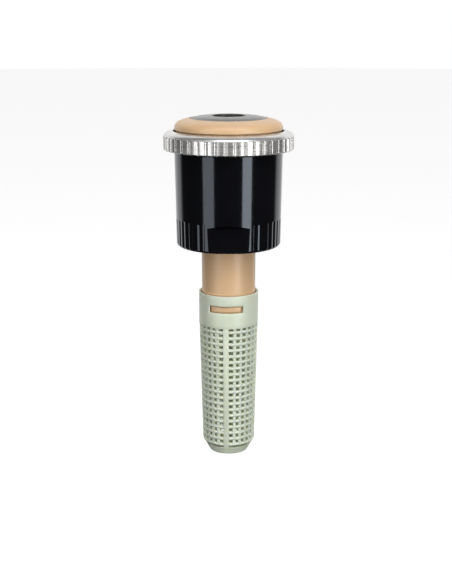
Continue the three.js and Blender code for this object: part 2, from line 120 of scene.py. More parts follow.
room_links.new(room_split.outputs["Y"], room_wall.inputs["Value"])
room_links.new(room_split.outputs["Z"], room_depth.inputs["Value"])
room_links.new(room_wall.outputs["Result"], room_shade.inputs[0])
room_links.new(room_depth.outputs["Result"], room_shade.inputs[1])
room_links.new(room_shade.outputs[0], room_bright.inputs[0])
room_links.new(room_ray.outputs["Is Camera Ray"], room_bright.inputs[1])
room_links.new(room_bright.outputs[0], room_nodes["Background"].inputs["Strength"])
room_nodes["Background"].inputs["Color"].default_value = (1, 1, 1, 1)
bpy.context.scene.view_settings.view_transform = "Standard"


def soft_box(name, bearing, rise, distance, width, height, radiance):
    """A flat soft light that faces the nozzle. Bearing 0 is the camera's side, 90 is +X."""
    light = bpy.data.lights.new(name, "AREA")
    light.shape = "RECTANGLE"
    light.size = width
    light.size_y = height
    light.energy = radiance * width * height * math.pi
    lamp = bpy.data.objects.new(name, light)
    turn, lift = math.radians(bearing), math.radians(rise)
    away = Vector((math.sin(turn) * math.cos(lift), -math.cos(turn) * math.cos(lift), math.sin(lift)))
    lamp.location = away * distance
    lamp.rotation_euler = away.to_track_quat("Z", "Y").to_euler()
    lamp.visible_camera = False
    bpy.context.scene.collection.objects.link(lamp)
    return lamp


soft_box("left_box", -43.5, 0, 0.6, 0.26, 1.6, 2.3)
soft_box("right_box", 39.5, 0, 0.6, 0.215, 1.6, 4.6)
soft_box("top_box", 8, 62, 0.9, 0.6, 0.6, 3.4)

# ---------------------------------------------------------------------------------------------
# Skirt. The glossy black moulding that is screwed onto the riser: a slightly tapered wall with
# a floor, a threaded boss held by eight webs, grip ribs round the lower part, and two flats.


def reach(node):
    """Outer radius, lowest and highest height of a round CAD node."""
    low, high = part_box(node)
    return max(high[0], high[1], -low[0], -low[1]), low[2], high[2]


def rounded(outline, radius):
    """The outline with its corners rounded. A point beside each round keeps the flats flat."""
    corners = []
    count = len(outline)
    for i, (r, z) in enumerate(outline):
        here = Vector((r, z))
        before = Vector(outline[i - 1]) - here
        after = Vector(outline[(i + 1) % count]) - here
        is_straight = before.normalized().dot(after.normalized()) < -0.995
        if r < 1e-7 or is_straight:
            corners.append(here)
            continue
        size = min(radius, 0.4 * before.length, 0.4 * after.length)
        start, end = here + before.normalized() * size, here + after.normalized() * size
        corners.append(start + before.normalized() * size * 0.2)
        for share in (0, 0.25, 0.5, 0.75, 1):
            first, second = start.lerp(here, share), here.lerp(end, share)
            corners.append(first.lerp(second, share))
        corners.append(end + after.normalized() * size * 0.2)
    return [(p.x, p.y) for p in corners]


def turned_mesh(name, outline, steps=96, corner=0.15 * MM):
    """A closed solid turned from a loop of (radius, height). It may start and end on the axis."""
    points = rounded(outline, corner)
    vertices, rings = [], []
    for r, z in points:
        if r < 1e-7:
            rings.append([len(vertices)] * steps)
            vertices.append((0, 0, z))
            continue
        rings.append(list(range(len(vertices), len(vertices) + steps)))
        for step in range(steps):
            turn = 2 * math.pi * step / steps
            vertices.append((r * math.cos(turn), r * math.sin(turn), z))
    faces = []
    for i, ring in enumerate(rings):
        following = rings[(i + 1) % len(rings)]
        for a in range(steps):
            b = (a + 1) % steps
            corners = list(dict.fromkeys((ring[a], ring[b], following[b], following[a])))
            if len(corners) > 2:
                faces.append(corners)
    mesh = bpy.data.meshes.new(name)
    mesh.from_pydata(vertices, [], faces)
    return outwards(mesh)


def outwards(mesh):
    """Turns the faces of a closed mesh outwards and shades its curved stretches smooth."""
    form = bmesh.new()
    form.from_mesh(mesh)
    bmesh.ops.recalc_face_normals(form, faces=form.faces)
    form.to_mesh(mesh)
    form.free()
    mesh.polygons.foreach_set("use_smooth", [True] * len(mesh.polygons))
    mesh.set_sharp_from_angle(angle=math.radians(34))
    return mesh


class Number:
    """A number in a node tree. Sums done with it add Math nodes to the tree."""

    def __init__(self, tree, socket):
        self.tree, self.socket = tree, socket

    def math(self, operation, *others):
        node = self.tree.nodes.new("ShaderNodeMath")
        node.operation = operation
        for place, value in zip(node.inputs, (self, *others)):
            if isinstance(value, Number):
                self.tree.links.new(value.socket, place)
            else:
                place.default_value = value
        return Number(self.tree, node.outputs[0])

    def __add__(self, other):
        return self.math("ADD", other)

    def __sub__(self, other):
        return self.math("SUBTRACT", other)

    def __mul__(self, other):
        return self.math("MULTIPLY", other)

    def __truediv__(self, other):
        return self.math("DIVIDE", other)

    def __pow__(self, other):
        return self.math("POWER", other)

    def ramp(self, start, end):
        """0 up to start, 1 from end on, with a smooth rise between them."""
        node = self.tree.nodes.new("ShaderNodeMapRange")
        node.interpolation_type = "SMOOTHSTEP"
        values = (self, start, end)
        for place, value in zip(("Value", "From Min", "From Max"), values):
            if isinstance(value, Number):
                self.tree.links.new(value.socket, node.inputs[place])
            else:
                node.inputs[place].default_value = value
        return Number(self.tree, node.outputs["Result"])


def new_tree(name, numbers):
    """A geometry tree with one geometry in and out, the named inputs, and their Numbers."""
    tree = bpy.data.node_groups.new(name, "GeometryNodeTree")
    tree.interface.new_socket("Geometry", in_out="INPUT", socket_type="NodeSocketGeometry")
    for label, kind in numbers.items():
        tree.interface.new_socket(label, in_out="INPUT", socket_type="NodeSocket" + kind)
    tree.interface.new_socket("Geometry", in_out="OUTPUT", socket_type="NodeSocketGeometry")
    start = tree.nodes.new("NodeGroupInput")
    given = {label: Number(tree, start.outputs[label]) for label in numbers if label != "Material"}
    return tree, start, given


def end_tree(tree, start, geometry):
    """Ends a tree in Realize Instances and Set Material."""
    real = tree.nodes.new("GeometryNodeRealizeInstances")
    paint = tree.nodes.new("GeometryNodeSetMaterial")
    end = tree.nodes.new("NodeGroupOutput")
    tree.links.new(geometry, real.inputs[0])
    tree.links.new(real.outputs[0], paint.inputs["Geometry"])
    tree.links.new(start.outputs["Material"], paint.inputs["Material"])
    tree.links.new(paint.outputs[0], end.inputs[0])


def grown(name, tree, values, mesh=None):
    """The plain object that a tree makes, from a starting mesh or from nothing."""
    piece = bpy.data.objects.new(name, mesh or bpy.data.meshes.new(name))
    bpy.context.scene.collection.objects.link(piece)
    rule = piece.modifiers.new(name, "NODES")
    rule.node_group = tree
    for socket in tree.interface.items_tree:
        if socket.in_out == "INPUT" and socket.name in values:
            rule[socket.identifier] = values[socket.name]
    graph = bpy.context.evaluated_depsgraph_get()
    result = bpy.data.meshes.new_from_object(piece.evaluated_get(graph), depsgraph=graph)
    piece.modifiers.clear()
    piece.data = result
    return piece


def fluting_tree():
    """Presses evenly spaced grooves into the outer wall of a turned piece."""
    kinds = dict.fromkeys(("Depth", "Narrowness", "Crown", "Phase", "Low", "High", "Fade"), "Float")
    kinds |= {"Plain Angle": "Float", "Least Radius": "Float", "Count": "Int", "Material": "Material"}
    tree, start, given = new_tree("fluting", kinds)
    position = tree.nodes.new("GeometryNodeInputPosition")
    split = tree.nodes.new("ShaderNodeSeparateXYZ")
    tree.links.new(position.outputs[0], split.inputs[0])
    x, y, z = (Number(tree, socket) for socket in split.outputs)
    bearing = y.math("ARCTAN2", x)
    radius = (x * x + y * y).math("SQRT")
    wave = ((bearing - given["Phase"]) * given["Count"]).math("COSINE") * 0.5 + 0.5
    profile = wave ** given["Narrowness"] * given["Depth"] + wave * given["Crown"]
    below_top = z.ramp(given["High"], given["High"] - given["Fade"])
    above_end = z.ramp(given["Low"], given["Low"] + given["Fade"])
    off_flats = bearing.math("SINE").math("ABSOLUTE").math("LESS_THAN", given["Plain Angle"].math("COSINE"))
    on_wall = radius.math("GREATER_THAN", given["Least Radius"])
    depth = profile * below_top * above_end * off_flats * on_wall
    inward = tree.nodes.new("ShaderNodeCombineXYZ")
    tree.links.new((x / radius * depth * -1).socket, inward.inputs["X"])
    tree.links.new((y / radius * depth * -1).socket, inward.inputs["Y"])
    press = tree.nodes.new("GeometryNodeSetPosition")
    tree.links.new(start.outputs["Geometry"], press.inputs["Geometry"])
    tree.links.new(inward.outputs[0], press.inputs["Offset"])
    end_tree(tree, start, press.outputs[0])
    return tree


def box_ring_tree():
    """Equal blocks with broken edges, spaced evenly round the axis."""
    kinds = dict.fromkeys(("Radius", "Height", "Turn"), "Float")
    kinds |= {"Count": "Int", "Size": "Vector", "Material": "Material"}
    tree, start, given = new_tree("block_ring", kinds)
    line = tree.nodes.new("GeometryNodeMeshLine")
    line.inputs["Offset"].default_value = (0, 0, 0)
    tree.links.new(given["Count"].socket, line.inputs["Count"])
    cube = tree.nodes.new("GeometryNodeMeshCube")
    tree.links.new(start.outputs["Size"], cube.inputs["Size"])
    move = tree.nodes.new("GeometryNodeTransform")
    place = tree.nodes.new("ShaderNodeCombineXYZ")
    tree.links.new(given["Radius"].socket, place.inputs["X"])
    tree.links.new(given["Height"].socket, place.inputs["Z"])
    tree.links.new(cube.outputs["Mesh"], move.inputs["Geometry"])
    tree.links.new(place.outputs[0], move.inputs["Translation"])
    index = Number(tree, tree.nodes.new("GeometryNodeInputIndex").outputs[0])
    bearing = index / given["Count"] * (2 * math.pi) + given["Turn"]
    turn = tree.nodes.new("ShaderNodeCombineXYZ")
    tree.links.new(bearing.socket, turn.inputs["Z"])
    copies = tree.nodes.new("GeometryNodeInstanceOnPoints")
    tree.links.new(line.outputs[0], copies.inputs["Points"])
    tree.links.new(move.outputs[0], copies.inputs["Instance"])
    tree.links.new(turn.outputs[0], copies.inputs["Rotation"])
    end_tree(tree, start, copies.outputs[0])
    return tree


def coil_tree():
    """A round wire wound on a cylinder, rising from Low."""
    kinds = dict.fromkeys(("Radius", "Wire Radius", "Low", "Rise", "Turns"), "Float")
    kinds |= {"Material": "Material"}
    tree, start, given = new_tree("coil", kinds)
    helix = tree.nodes.new("GeometryNodeCurveSpiral")
    helix.inputs["Resolution"].default_value = 40
    tree.links.new(given["Turns"].socket, helix.inputs["Rotations"])
    tree.links.new(given["Radius"].socket, helix.inputs["Start Radius"])
    tree.links.new(given["Radius"].socket, helix.inputs["End Radius"])
    tree.links.new(given["Rise"].socket, helix.inputs["Height"])
    section = tree.nodes.new("GeometryNodeCurvePrimitiveCircle")
    section.inputs["Resolution"].default_value = 10
    tree.links.new(given["Wire Radius"].socket, section.inputs["Radius"])
    wire = tree.nodes.new("GeometryNodeCurveToMesh")
    wire.inputs["Fill Caps"].default_value = True
    tree.links.new(helix.outputs[0], wire.inputs["Curve"])
    tree.links.new(section.outputs["Curve"], wire.inputs["Profile Curve"])
    lift = tree.nodes.new("ShaderNodeCombineXYZ")
    tree.links.new(given["Low"].socket, lift.inputs["Z"])
    move = tree.nodes.new("GeometryNodeTransform")
    tree.links.new(wire.outputs[0], move.inputs["Geometry"])
    tree.links.new(lift.outputs[0], move.inputs["Translation"])
    end_tree(tree, start, move.outputs[0])
    return tree


def softened(piece, width=0.08 * MM):
    """Breaks the sharp edges of a piece with a small bevel, and makes it plain again."""
    bevel = piece.modifiers.new("edges", "BEVEL")
    bevel.width = width
    bevel.segments = 2
    bevel.limit_method = "ANGLE"
    bevel.angle_limit = math.radians(40)
    return baked(piece)


def baked(piece):
    """Makes the modifiers of a piece part of its mesh."""
    graph = bpy.context.evaluated_depsgraph_get()
    result = bpy.data.meshes.new_from_object(piece.evaluated_get(graph), depsgraph=graph)
    piece.modifiers.clear()
    piece.data = result
    outwards(piece.data)
    return piece


def made(name, mesh, material):
    """An object of that mesh and material, at the origin."""
    piece = bpy.data.objects.new(name, mesh)
    if not mesh.materials:
        mesh.materials.append(material)
    bpy.context.scene.collection.objects.link(piece)
    return piece


def fitted(piece, body, slot, *nodes):
    """The piece rides on that body and stands for those CAD nodes, which are hidden. The slot is not used."""
    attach(piece, body)
    if nodes:
        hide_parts(*nodes)


def moulded_plastic(name, light, dark, roughness, grain, scatter=0, patch=140, gloss=0.5, tint=(1, 1, 1)):
    """Moulded plastic: clouded colour, uneven gloss, a fine grain, and light that goes in a bit."""
    material = bpy.data.materials.new(name)
    material.use_nodes = True
    nodes, links = material.node_tree.nodes, material.node_tree.links
    shader = nodes["Principled BSDF"]
    place = nodes.new("ShaderNodeTexCoord")

    def noise(scale, detail):
        node = nodes.new("ShaderNodeTexNoise")
        node.inputs["Scale"].default_value = scale
        node.inputs["Detail"].default_value = detail
        links.new(place.outputs["Object"], node.inputs["Vector"])
        return node.outputs[0]

    colours = nodes.new("ShaderNodeValToRGB")
    colours.color_ramp.elements[0].position = 0.3
    colours.color_ramp.elements[1].position = 0.7
    colours.color_ramp.elements[0].color = (*dark, 1)
    colours.color_ramp.elements[1].color = (*light, 1)
    links.new(noise(patch, 4), colours.inputs["Fac"])
    links.new(colours.outputs["Color"], shader.inputs["Base Color"])
    gloss_range = nodes.new("ShaderNodeMapRange")
    gloss_range.inputs["From Min"].default_value = 0.3
    gloss_range.inputs["From Max"].default_value = 0.7
    gloss_range.inputs["To Min"].default_value = roughness * 0.8
    gloss_range.inputs["To Max"].default_value = roughness * 1.25
    links.new(noise(900, 3), gloss_range.inputs["Value"])
    links.new(gloss_range.outputs["Result"], shader.inputs["Roughness"])
    bump = nodes.new("ShaderNodeBump")
    bump.inputs["Strength"].default_value = 0.35
    bump.inputs["Distance"].default_value = grain
    links.new(noise(3200, 4), bump.inputs["Height"])
    links.new(bump.outputs["Normal"], shader.inputs["Normal"])
    shader.inputs["Specular IOR Level"].default_value = gloss
    shader.inputs["Specular Tint"].default_value = (*tint, 1)
    shader.inputs["Subsurface Weight"].default_value = scatter
    shader.inputs["Subsurface Radius"].default_value = (1, 0.8, 0.5)
    shader.inputs["Subsurface Scale"].default_value = 1.2 * MM
    return material


glossy_black = moulded_plastic(
    "glossy_black",
    (0.0042, 0.0042, 0.0056),
    (0.003, 0.003, 0.0042),
    roughness=0.1,
    grain=0.002 * MM,
    gloss=0.56,
    tint=(0.78, 0.87, 1),
)
fluting = fluting_tree()
block_ring = box_ring_tree()
coil = coil_tree()

skirt_radius, skirt_low, skirt_high = reach("body_shell")
# The skirt ends a little lower than its solid.
skirt_low -= 0.2 * MM
skirt_bore = 10 * MM
skirt_foot_radius = skirt_radius - 0.39 * MM
cavity_radius = 10.8 * MM
boss_radius = 9.1 * MM
boss_low = -8 * MM
thread_radius = 8.05 * MM
floor_hole = 6.6 * MM
floor_top = 1.4 * MM
flat_from_axis = 10.8 * MM
grip_high = -2.5 * MM
flat_high = grip_high - 0.8 * MM

wall_foot = skirt_low + 0.45 * MM
wall_heights = [wall_foot, -6 * MM, *((-32 + i) * 0.1 * MM for i in range(10)), 3 * MM, 8 * MM, skirt_high]
wall = []
for z in wall_heights:
    share = (z - wall_foot) / (skirt_high - wall_foot)
    wall.append((skirt_foot_radius + (skirt_radius - skirt_foot_radius) * share, z))
skirt_outline = [
    *wall,
    (cavity_radius, skirt_high),
    (cavity_radius, 9.6 * MM),
    (cavity_radius - 0.3 * MM, 9.6 * MM),
    (cavity_radius - 0.3 * MM, 9.1 * MM),
    (cavity_radius, 9.1 * MM),
    (cavity_radius, floor_top),
    (floor_hole, floor_top),
    (floor_hole, 0),
    (thread_radius, 0),
    (thread_radius, boss_low),
    (boss_radius, boss_low),
    (boss_radius, 0),
    (skirt_bore, 0),
    (skirt_bore, skirt_low),
    (skirt_foot_radius - 0.45 * MM, skirt_low),
]
skirt_mesh = turned_mesh("skirt", skirt_outline, 44 * 16, 0.12 * MM)
skirt = grown(
    "skirt",
    fluting,
    {
        "Count": 44,
        "Depth": 0.09 * MM,
        "Crown": 0.025 * MM,
        "Narrowness": 2.0,
        "Phase": 0.0,
        "Low": skirt_low + 0.1 * MM,
        "High": grip_high,
        "Fade": 0.2 * MM,
        "Plain Angle": math.radians(27),
        "Least Radius": skirt_bore + 0.6 * MM,
        "Material": glossy_black,
    },
    skirt_mesh,
)


def flat_cutter(side):
    """The block that the flat on one side is cut with. Its top slopes, so the flat ends in an arc."""
    near, far, half, low = flat_from_axis, skirt_radius + 2 * MM, 9 * MM, skirt_low - 1 * MM
    slope = 0.62
    corners = []
    for x in (-half, half):
        corners += [(x, near, low), (x, far, low)]
        corners += [(x, far, flat_high + (far - near) * slope), (x, near, flat_high)]
    corners = [(x * side, y * side, z) for x, y, z in corners]
    sides = [(0, 1, 2, 3), (4, 7, 6, 5), (0, 4, 5, 1), (1, 5, 6, 2), (2, 6, 7, 3), (3, 7, 4, 0)]
    mesh = bpy.data.meshes.new("cutter")
    mesh.from_pydata(corners, [], sides)
    block = bpy.data.objects.new("cutter", outwards(mesh))
    bpy.context.scene.collection.objects.link(block)
    return block


def cut_by(piece, *blocks):
    """Cuts the blocks out of a piece. They aren't part of the object and are removed after."""
    for block in blocks:
        cut = piece.modifiers.new("cut", "BOOLEAN")
        cut.operation = "DIFFERENCE"
        cut.solver = "EXACT"
        cut.object = block
    baked(piece)
    for block in blocks:
        bpy.data.objects.remove(block)
    return piece


cut_by(skirt, flat_cutter(1), flat_cutter(-1))
fitted(skirt, "skirt", "black_plastic", "body_shell")

web_height = 7.4 * MM
skirt_webs = grown(
    "skirt_webs",
    block_ring,
    {
        "Count": 8,
        "Size": (1.1 * MM, 1 * MM, web_height),
        "Radius": (skirt_bore + boss_radius) / 2,
        "Height": -web_height / 2,
        "Turn": 0.0,
        "Material": glossy_black,
    },
)
softened(skirt_webs)
fitted(skirt_webs, "skirt", "black_plastic")

riser_thread = grown(
    "riser_thread",
    coil,
    {
        "Radius": thread_radius + 0.02 * MM,
        "Wire Radius": 0.42 * MM,
        "Low": boss_low + 0.5 * MM,
        "Rise": 5.44 * MM,
        "Turns": 6.0,
        "Material": glossy_black,
    },
)
outwards(riser_thread.data)
fitted(riser_thread, "skirt", "black_plastic")

# ---------------------------------------------------------------------------------------------
# Flow tube. A tan moulding that drops through the skirt's floor and rests on it with a flange.
# Its bell takes the arc sleeve's throat, its lower end the filter, and two keys guide the throttle.

tan_plastic = moulded_plastic("tan_plastic", (0.77, 0.52, 0.305), (0.74, 0.49, 0.28), 0.36, 0.004 * MM, 0.12)
tube_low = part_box("flow_tube")[0][2]
tube_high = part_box("flow_tube")[1][2]
flange_radius = reach("flow_tube")[0]
tube_bore = 5.25 * MM
bell_bore = 6.45 * MM
bead_low = -19.55 * MM
bell_floor = tube_high - 3.4 * MM
tube_outline = [
    (bell_bore, tube_high),
    (bell_bore + 0.9 * MM, tube_high),
    (bell_bore + 0.9 * MM, 2.85 * MM),
    (flange_radius, 2.85 * MM),
    (flange_radius, 1.65 * MM),
    (6.14 * MM, 1.65 * MM),
    (6.06 * MM, bead_low + 0.5 * MM),
    (6.14 * MM, bead_low + 0.3 * MM),
    (6.14 * MM, bead_low),
    (6.04 * MM, bead_low - 0.2 * MM),
    (6.02 * MM, tube_low + 0.5 * MM),
    (5.72 * MM, tube_low),
    (tube_bore, tube_low),
    (tube_bore, bell_floor),
    (bell_bore, bell_floor),
]
flow_tube = made("flow_tube_body", turned_mesh("flow_tube_body", tube_outline, 128), tan_plastic)
fitted(flow_tube, "skirt", "tan_plastic", "flow_tube")
key_low, key_high = tube_low + 1 * MM, -8.1 * MM
tube_keys = grown(
    "tube_keys",
    block_ring,
    {
        "Count": 2,
        "Size": (1.2 * MM, 1 * MM, key_high - key_low),
        "Radius": 4.8 * MM,
        "Height": (key_low + key_high) / 2,
        "Turn": 0.0,
        "Material": tan_plastic,
    },
)
softened(tube_keys)
fitted(tube_keys, "skirt", "tan_plastic")


def snap_lug(side):
    """A raised lug on the tube that sits in a window of the filter's collar."""
    inner, outer, half, low, high = 5.9 * MM, 6.32 * MM, math.radians(31), -23.15 * MM, -22.0 * MM
    steps, form = 24, bmesh.new()
    middle = math.pi / 2 * side + math.radians(-5.5)
    rings = []
    for step in range(steps + 1):
        turn = middle + half * (2 * step / steps - 1)
        loop = ((inner, low), (outer, low), (outer, high), (inner, high))
        rings.append([form.verts.new((r * math.cos(turn), r * math.sin(turn), z)) for r, z in loop])
    for first, second in zip(rings, rings[1:]):
        for a in range(4):
            b = (a + 1) % 4
            form.faces.new((first[a], first[b], second[b], second[a]))
    form.faces.new(rings[0])
    form.faces.new(rings[-1])
    mesh = bpy.data.meshes.new("snap_lug")
    form.to_mesh(mesh)
    form.free()
    name = "snap_lug_front" if side < 0 else "snap_lug_back"
    return softened(made(name, outwards(mesh), tan_plastic), 0.1 * MM)


for lug_side in (-1, 1):
    fitted(snap_lug(lug_side), "skirt", "tan_plastic")

# ---------------------------------------------------------------------------------------------
# Inlet filter. A pale green basket, moulded in one, that snaps onto the tube's end. Its collar has
# two snap windows; below it, thin hoops over thinner uprights leave square openings between four ribs.

green_plastic = moulded_plastic("green_plastic", (0.77, 0.83, 0.68), (0.73, 0.8, 0.62), 0.42, 0.004 * MM, 0.3)
filter_low, filter_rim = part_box("filter_basket")[0][2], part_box("filter_basket")[1][2]
# The foot ends a little lower than its solid.
filter_low -= 0.15 * MM
filter_turn = math.radians(-5.5)
collar_low = -27.0 * MM
rim_radius = 6.75 * MM
collar_foot_radius = 6.72 * MM
cage_top_radius = 6.66 * MM
cage_foot_radius = 5.95 * MM
cage_low = -54.9 * MM
collar_wall = 0.38 * MM
window_low, window_high = -23.4 * MM, -21.8 * MM
window_half_angle = math.radians(35)


def collar_mesh():
    """The collar's outer skin, with two windows left out. Solidify gives it its wall."""
    rows = [filter_rim, window_high, window_low, collar_low]
    inner = [filter_rim + (window_high - filter_rim) * i / 3 for i in (1, 2)]
    outer = [window_low + (collar_low - window_low) * i / 4 for i in (1, 2, 3)]
    heights = sorted([*rows, *inner, *outer], reverse=True)
    steps = 144
    # The window's ends fall on a line between two columns of faces.
    edge = round(window_half_angle / (2 * math.pi) * steps)
    vertices, faces = [], []
    for z in heights:
        share = (filter_rim - z) / (filter_rim - collar_low)
        radius = rim_radius + (collar_foot_radius - rim_radius) * share
        for step in range(steps):
            turn = 2 * math.pi * step / steps + filter_turn
            vertices.append((radius * math.cos(turn), radius * math.sin(turn), z))
    for row in range(len(heights) - 1):
        is_window_row = heights[row] <= window_high + 1e-9 and heights[row + 1] >= window_low - 1e-9
        for step in range(steps):
            from_front = (step - steps // 4) % (steps // 2)
            is_window = from_front < edge or from_front >= steps // 2 - edge
            if is_window_row and is_window:
                continue
            after = (step + 1) % steps
            a, b = row * steps + step, row * steps + after
            faces.append((a, a + steps, b + steps, b))
    mesh = bpy.data.meshes.new("filter_collar")
    mesh.from_pydata(vertices, [], faces)
    return mesh


filter_collar = made("filter_collar", collar_mesh(), green_plastic)
collar_solid = filter_collar.modifiers.new("wall", "SOLIDIFY")
collar_solid.thickness = collar_wall
collar_solid.offset = -1
softened(filter_collar, 0.11 * MM)
fitted(filter_collar, "filter", "green_plastic", "filter_basket")


def cage_tree():
    """Hoops and uprights of the filter's mesh. The hoops get smaller towards the foot."""
    kinds = dict.fromkeys(("Pitch", "Top", "Top Radius", "Foot Radius", "Hoop Height", "Hoop Wall"), "Float")
    kinds |= dict.fromkeys(("First Angle", "Angle Step", "Turn"), "Float")
    kinds |= dict.fromkeys(("Upright Width", "Upright Wall", "Recess"), "Float")
    kinds |= {"Rows": "Int", "Columns": "Int", "Material": "Material"}
    tree, start, given = new_tree("filter_cage", kinds)

    def vector(x=0.0, y=0.0, z=0.0):
        node = tree.nodes.new("ShaderNodeCombineXYZ")
        for place, value in zip(node.inputs, (x, y, z)):
            if isinstance(value, Number):
                tree.links.new(value.socket, place)
            else:
                place.default_value = value
        return node.outputs[0]

    height = given["Pitch"] * given["Rows"]
    index = Number(tree, tree.nodes.new("GeometryNodeInputIndex").outputs[0])

    hoop_line = tree.nodes.new("GeometryNodeMeshLine")
    tree.links.new((given["Rows"] + 1).socket, hoop_line.inputs["Count"])
    tree.links.new(vector(z=given["Top"]), hoop_line.inputs["Start Location"])
    tree.links.new(vector(z=given["Pitch"] * -1), hoop_line.inputs["Offset"])
    circle = tree.nodes.new("GeometryNodeCurvePrimitiveCircle")
    circle.inputs["Resolution"].default_value = 96
    tree.links.new((given["Top Radius"] - given["Hoop Wall"] / 2).socket, circle.inputs["Radius"])
    section = tree.nodes.new("GeometryNodeCurvePrimitiveQuadrilateral")
    tree.links.new(given["Hoop Wall"].socket, section.inputs["Width"])
    tree.links.new(given["Hoop Height"].socket, section.inputs["Height"])
    fillet = tree.nodes.new("GeometryNodeFilletCurve")
    fillet.mode = "POLY"
    fillet.inputs["Count"].default_value = 2
    tree.links.new((given["Hoop Wall"] * 0.32).socket, fillet.inputs["Radius"])
    tree.links.new(section.outputs[0], fillet.inputs["Curve"])
    hoop = tree.nodes.new("GeometryNodeCurveToMesh")
    tree.links.new(circle.outputs["Curve"], hoop.inputs["Curve"])
    tree.links.new(fillet.outputs[0], hoop.inputs["Profile Curve"])
    taper = (given["Foot Radius"] / given["Top Radius"] - 1) * (index / given["Rows"]) + 1
    hoops = tree.nodes.new("GeometryNodeInstanceOnPoints")
    tree.links.new(hoop_line.outputs[0], hoops.inputs["Points"])
    tree.links.new(hoop.outputs[0], hoops.inputs["Instance"])
    tree.links.new(vector(taper, taper, 1.0), hoops.inputs["Scale"])

    bar_count = (given["Columns"] - 1) * 4
    bar_line = tree.nodes.new("GeometryNodeMeshLine")
    bar_line.inputs["Offset"].default_value = (0, 0, 0)
    tree.links.new(bar_count.socket, bar_line.inputs["Count"])
    upright = tree.nodes.new("GeometryNodeMeshCube")
    reach_up = given["Pitch"] * 0.75
    size = vector(given["Upright Wall"], given["Upright Width"], height + reach_up)
    tree.links.new(size, upright.inputs["Size"])
    lean = (given["Top Radius"] - given["Foot Radius"]) / height
    middle = (given["Top Radius"] + given["Foot Radius"]) * 0.5
    middle = middle - given["Recess"] - given["Upright Wall"] * 0.5
    set_bar = tree.nodes.new("GeometryNodeTransform")
    tree.links.new(upright.outputs["Mesh"], set_bar.inputs["Geometry"])
    bar_height = given["Top"] + (reach_up - height) * 0.5
    tree.links.new(vector(middle, 0.0, bar_height), set_bar.inputs["Translation"])
    tree.links.new(vector(y=lean.math("ARCTANGENT")), set_bar.inputs["Rotation"])
    per_side = given["Columns"] - 1
    side = (index / per_side).math("FLOOR")
    along = index - side * per_side
    bearing = side * (math.pi / 2) + given["First Angle"]
    bearing = bearing + (along + 0.5) * given["Angle Step"] + given["Turn"]
    bars = tree.nodes.new("GeometryNodeInstanceOnPoints")
    tree.links.new(bar_line.outputs[0], bars.inputs["Points"])
    tree.links.new(set_bar.outputs[0], bars.inputs["Instance"])
    tree.links.new(vector(z=bearing), bars.inputs["Rotation"])

    both = tree.nodes.new("GeometryNodeJoinGeometry")
    tree.links.new(hoops.outputs[0], both.inputs[0])
    tree.links.new(bars.outputs[0], both.inputs[0])
    smooth = tree.nodes.new("GeometryNodeSetShadeSmooth")
    tree.links.new(both.outputs[0], smooth.inputs["Geometry"])
    end_tree(tree, start, smooth.outputs[0])
    return tree


mesh_pitch = 1.416 * MM
hoop_height = 0.72 * MM
hoop_wall = 1.1 * MM
row_count = 19
cage_top = -28.6 * MM + mesh_pitch / 2
filter_cage = grown(
    "filter_cage",
    cage_tree(),
    {
        "Pitch": mesh_pitch,
        "Rows": row_count,
        "Top": cage_top,
        "Top Radius": cage_top_radius,
        "Foot Radius": cage_foot_radius,
        "Hoop Height": hoop_height,
        "Hoop Wall": hoop_wall,
        "First Angle": math.radians(11.5),
        "Angle Step": math.radians(13.4),
        "Turn": filter_turn,
        "Columns": 6,
        "Upright Width": 0.6 * MM,
        "Upright Wall": 1.0 * MM,
        "Recess": 0.12 * MM,
        "Material": green_plastic,
    },
)
outwards(filter_cage.data)
fitted(filter_cage, "filter", "green_plastic")


def ring_mesh(name, outline, steps=96):
    """A turned ring of the filter, with softly rounded edges."""
    return made(name, turned_mesh(name, outline, steps, 0.12 * MM), green_plastic)


def rib_mesh():
    """The four ribs, flush with the hoops, from the collar to the foot's slope."""
    rib_width = 1.25 * MM
    thickness = 0.9 * MM
    form = bmesh.new()
    line = [
        (collar_foot_radius - 0.04 * MM, collar_low + 0.3 * MM),
        (cage_foot_radius + 0.02 * MM, cage_low),
        (5.27 * MM, -55.9 * MM),
        (5.05 * MM, -56.25 * MM),
    ]
    for quarter in range(4):
        turn = Matrix.Rotation(quarter * math.pi / 2 + filter_turn, 3, "Z")
        rings = []
        for outer, z in line:
            half = rib_width / 2
            bulge = outer - math.sqrt(outer**2 - half**2)
            corners = [
                (outer - bulge, -half),
                (outer, 0),
                (outer - bulge, half),
                (outer - thickness, half),
                (outer - thickness, -half),
            ]
            rings.append([form.verts.new(turn @ Vector((x, y, z))) for x, y in corners])
        for upper, lower in zip(rings, rings[1:]):
            for a in range(5):
                b = (a + 1) % 5
                form.faces.new((upper[a], upper[b], lower[b], lower[a]))
        form.faces.new(rings[0])
        form.faces.new(rings[-1])
    mesh = bpy.data.meshes.new("filter_ribs")
    form.to_mesh(mesh)
    form.free()
    return outwards(mesh)


filter_ribs = made("filter_ribs", rib_mesh(), green_plastic)
softened(filter_ribs, 0.1 * MM)
fitted(filter_ribs, "filter", "green_plastic")

foot_outline = [
    (0, filter_low),
    (4.35 * MM, filter_low),
    (4.55 * MM, filter_low + 0.3 * MM),
    (5.1 * MM, filter_low + 1.35 * MM),
    (5.45 * MM, filter_low + 1.95 * MM),
    (4.85 * MM, filter_low + 1.95 * MM),
    (4.3 * MM, filter_low + 1.35 * MM),
    (4.0 * MM, filter_low + 1.0 * MM),
    (0, filter_low + 1.0 * MM),
]
filter_foot = ring_mesh("filter_foot", foot_outline)
fitted(filter_foot, "filter", "green_plastic")

# ---------------------------------------------------------------------------------------------
# Arc sleeve. The black ring under the steel band. Its funnel is the nozzle's mouth, its throat
# runs in the tube's bell, and its helical lip is the turning half of the arc valve.

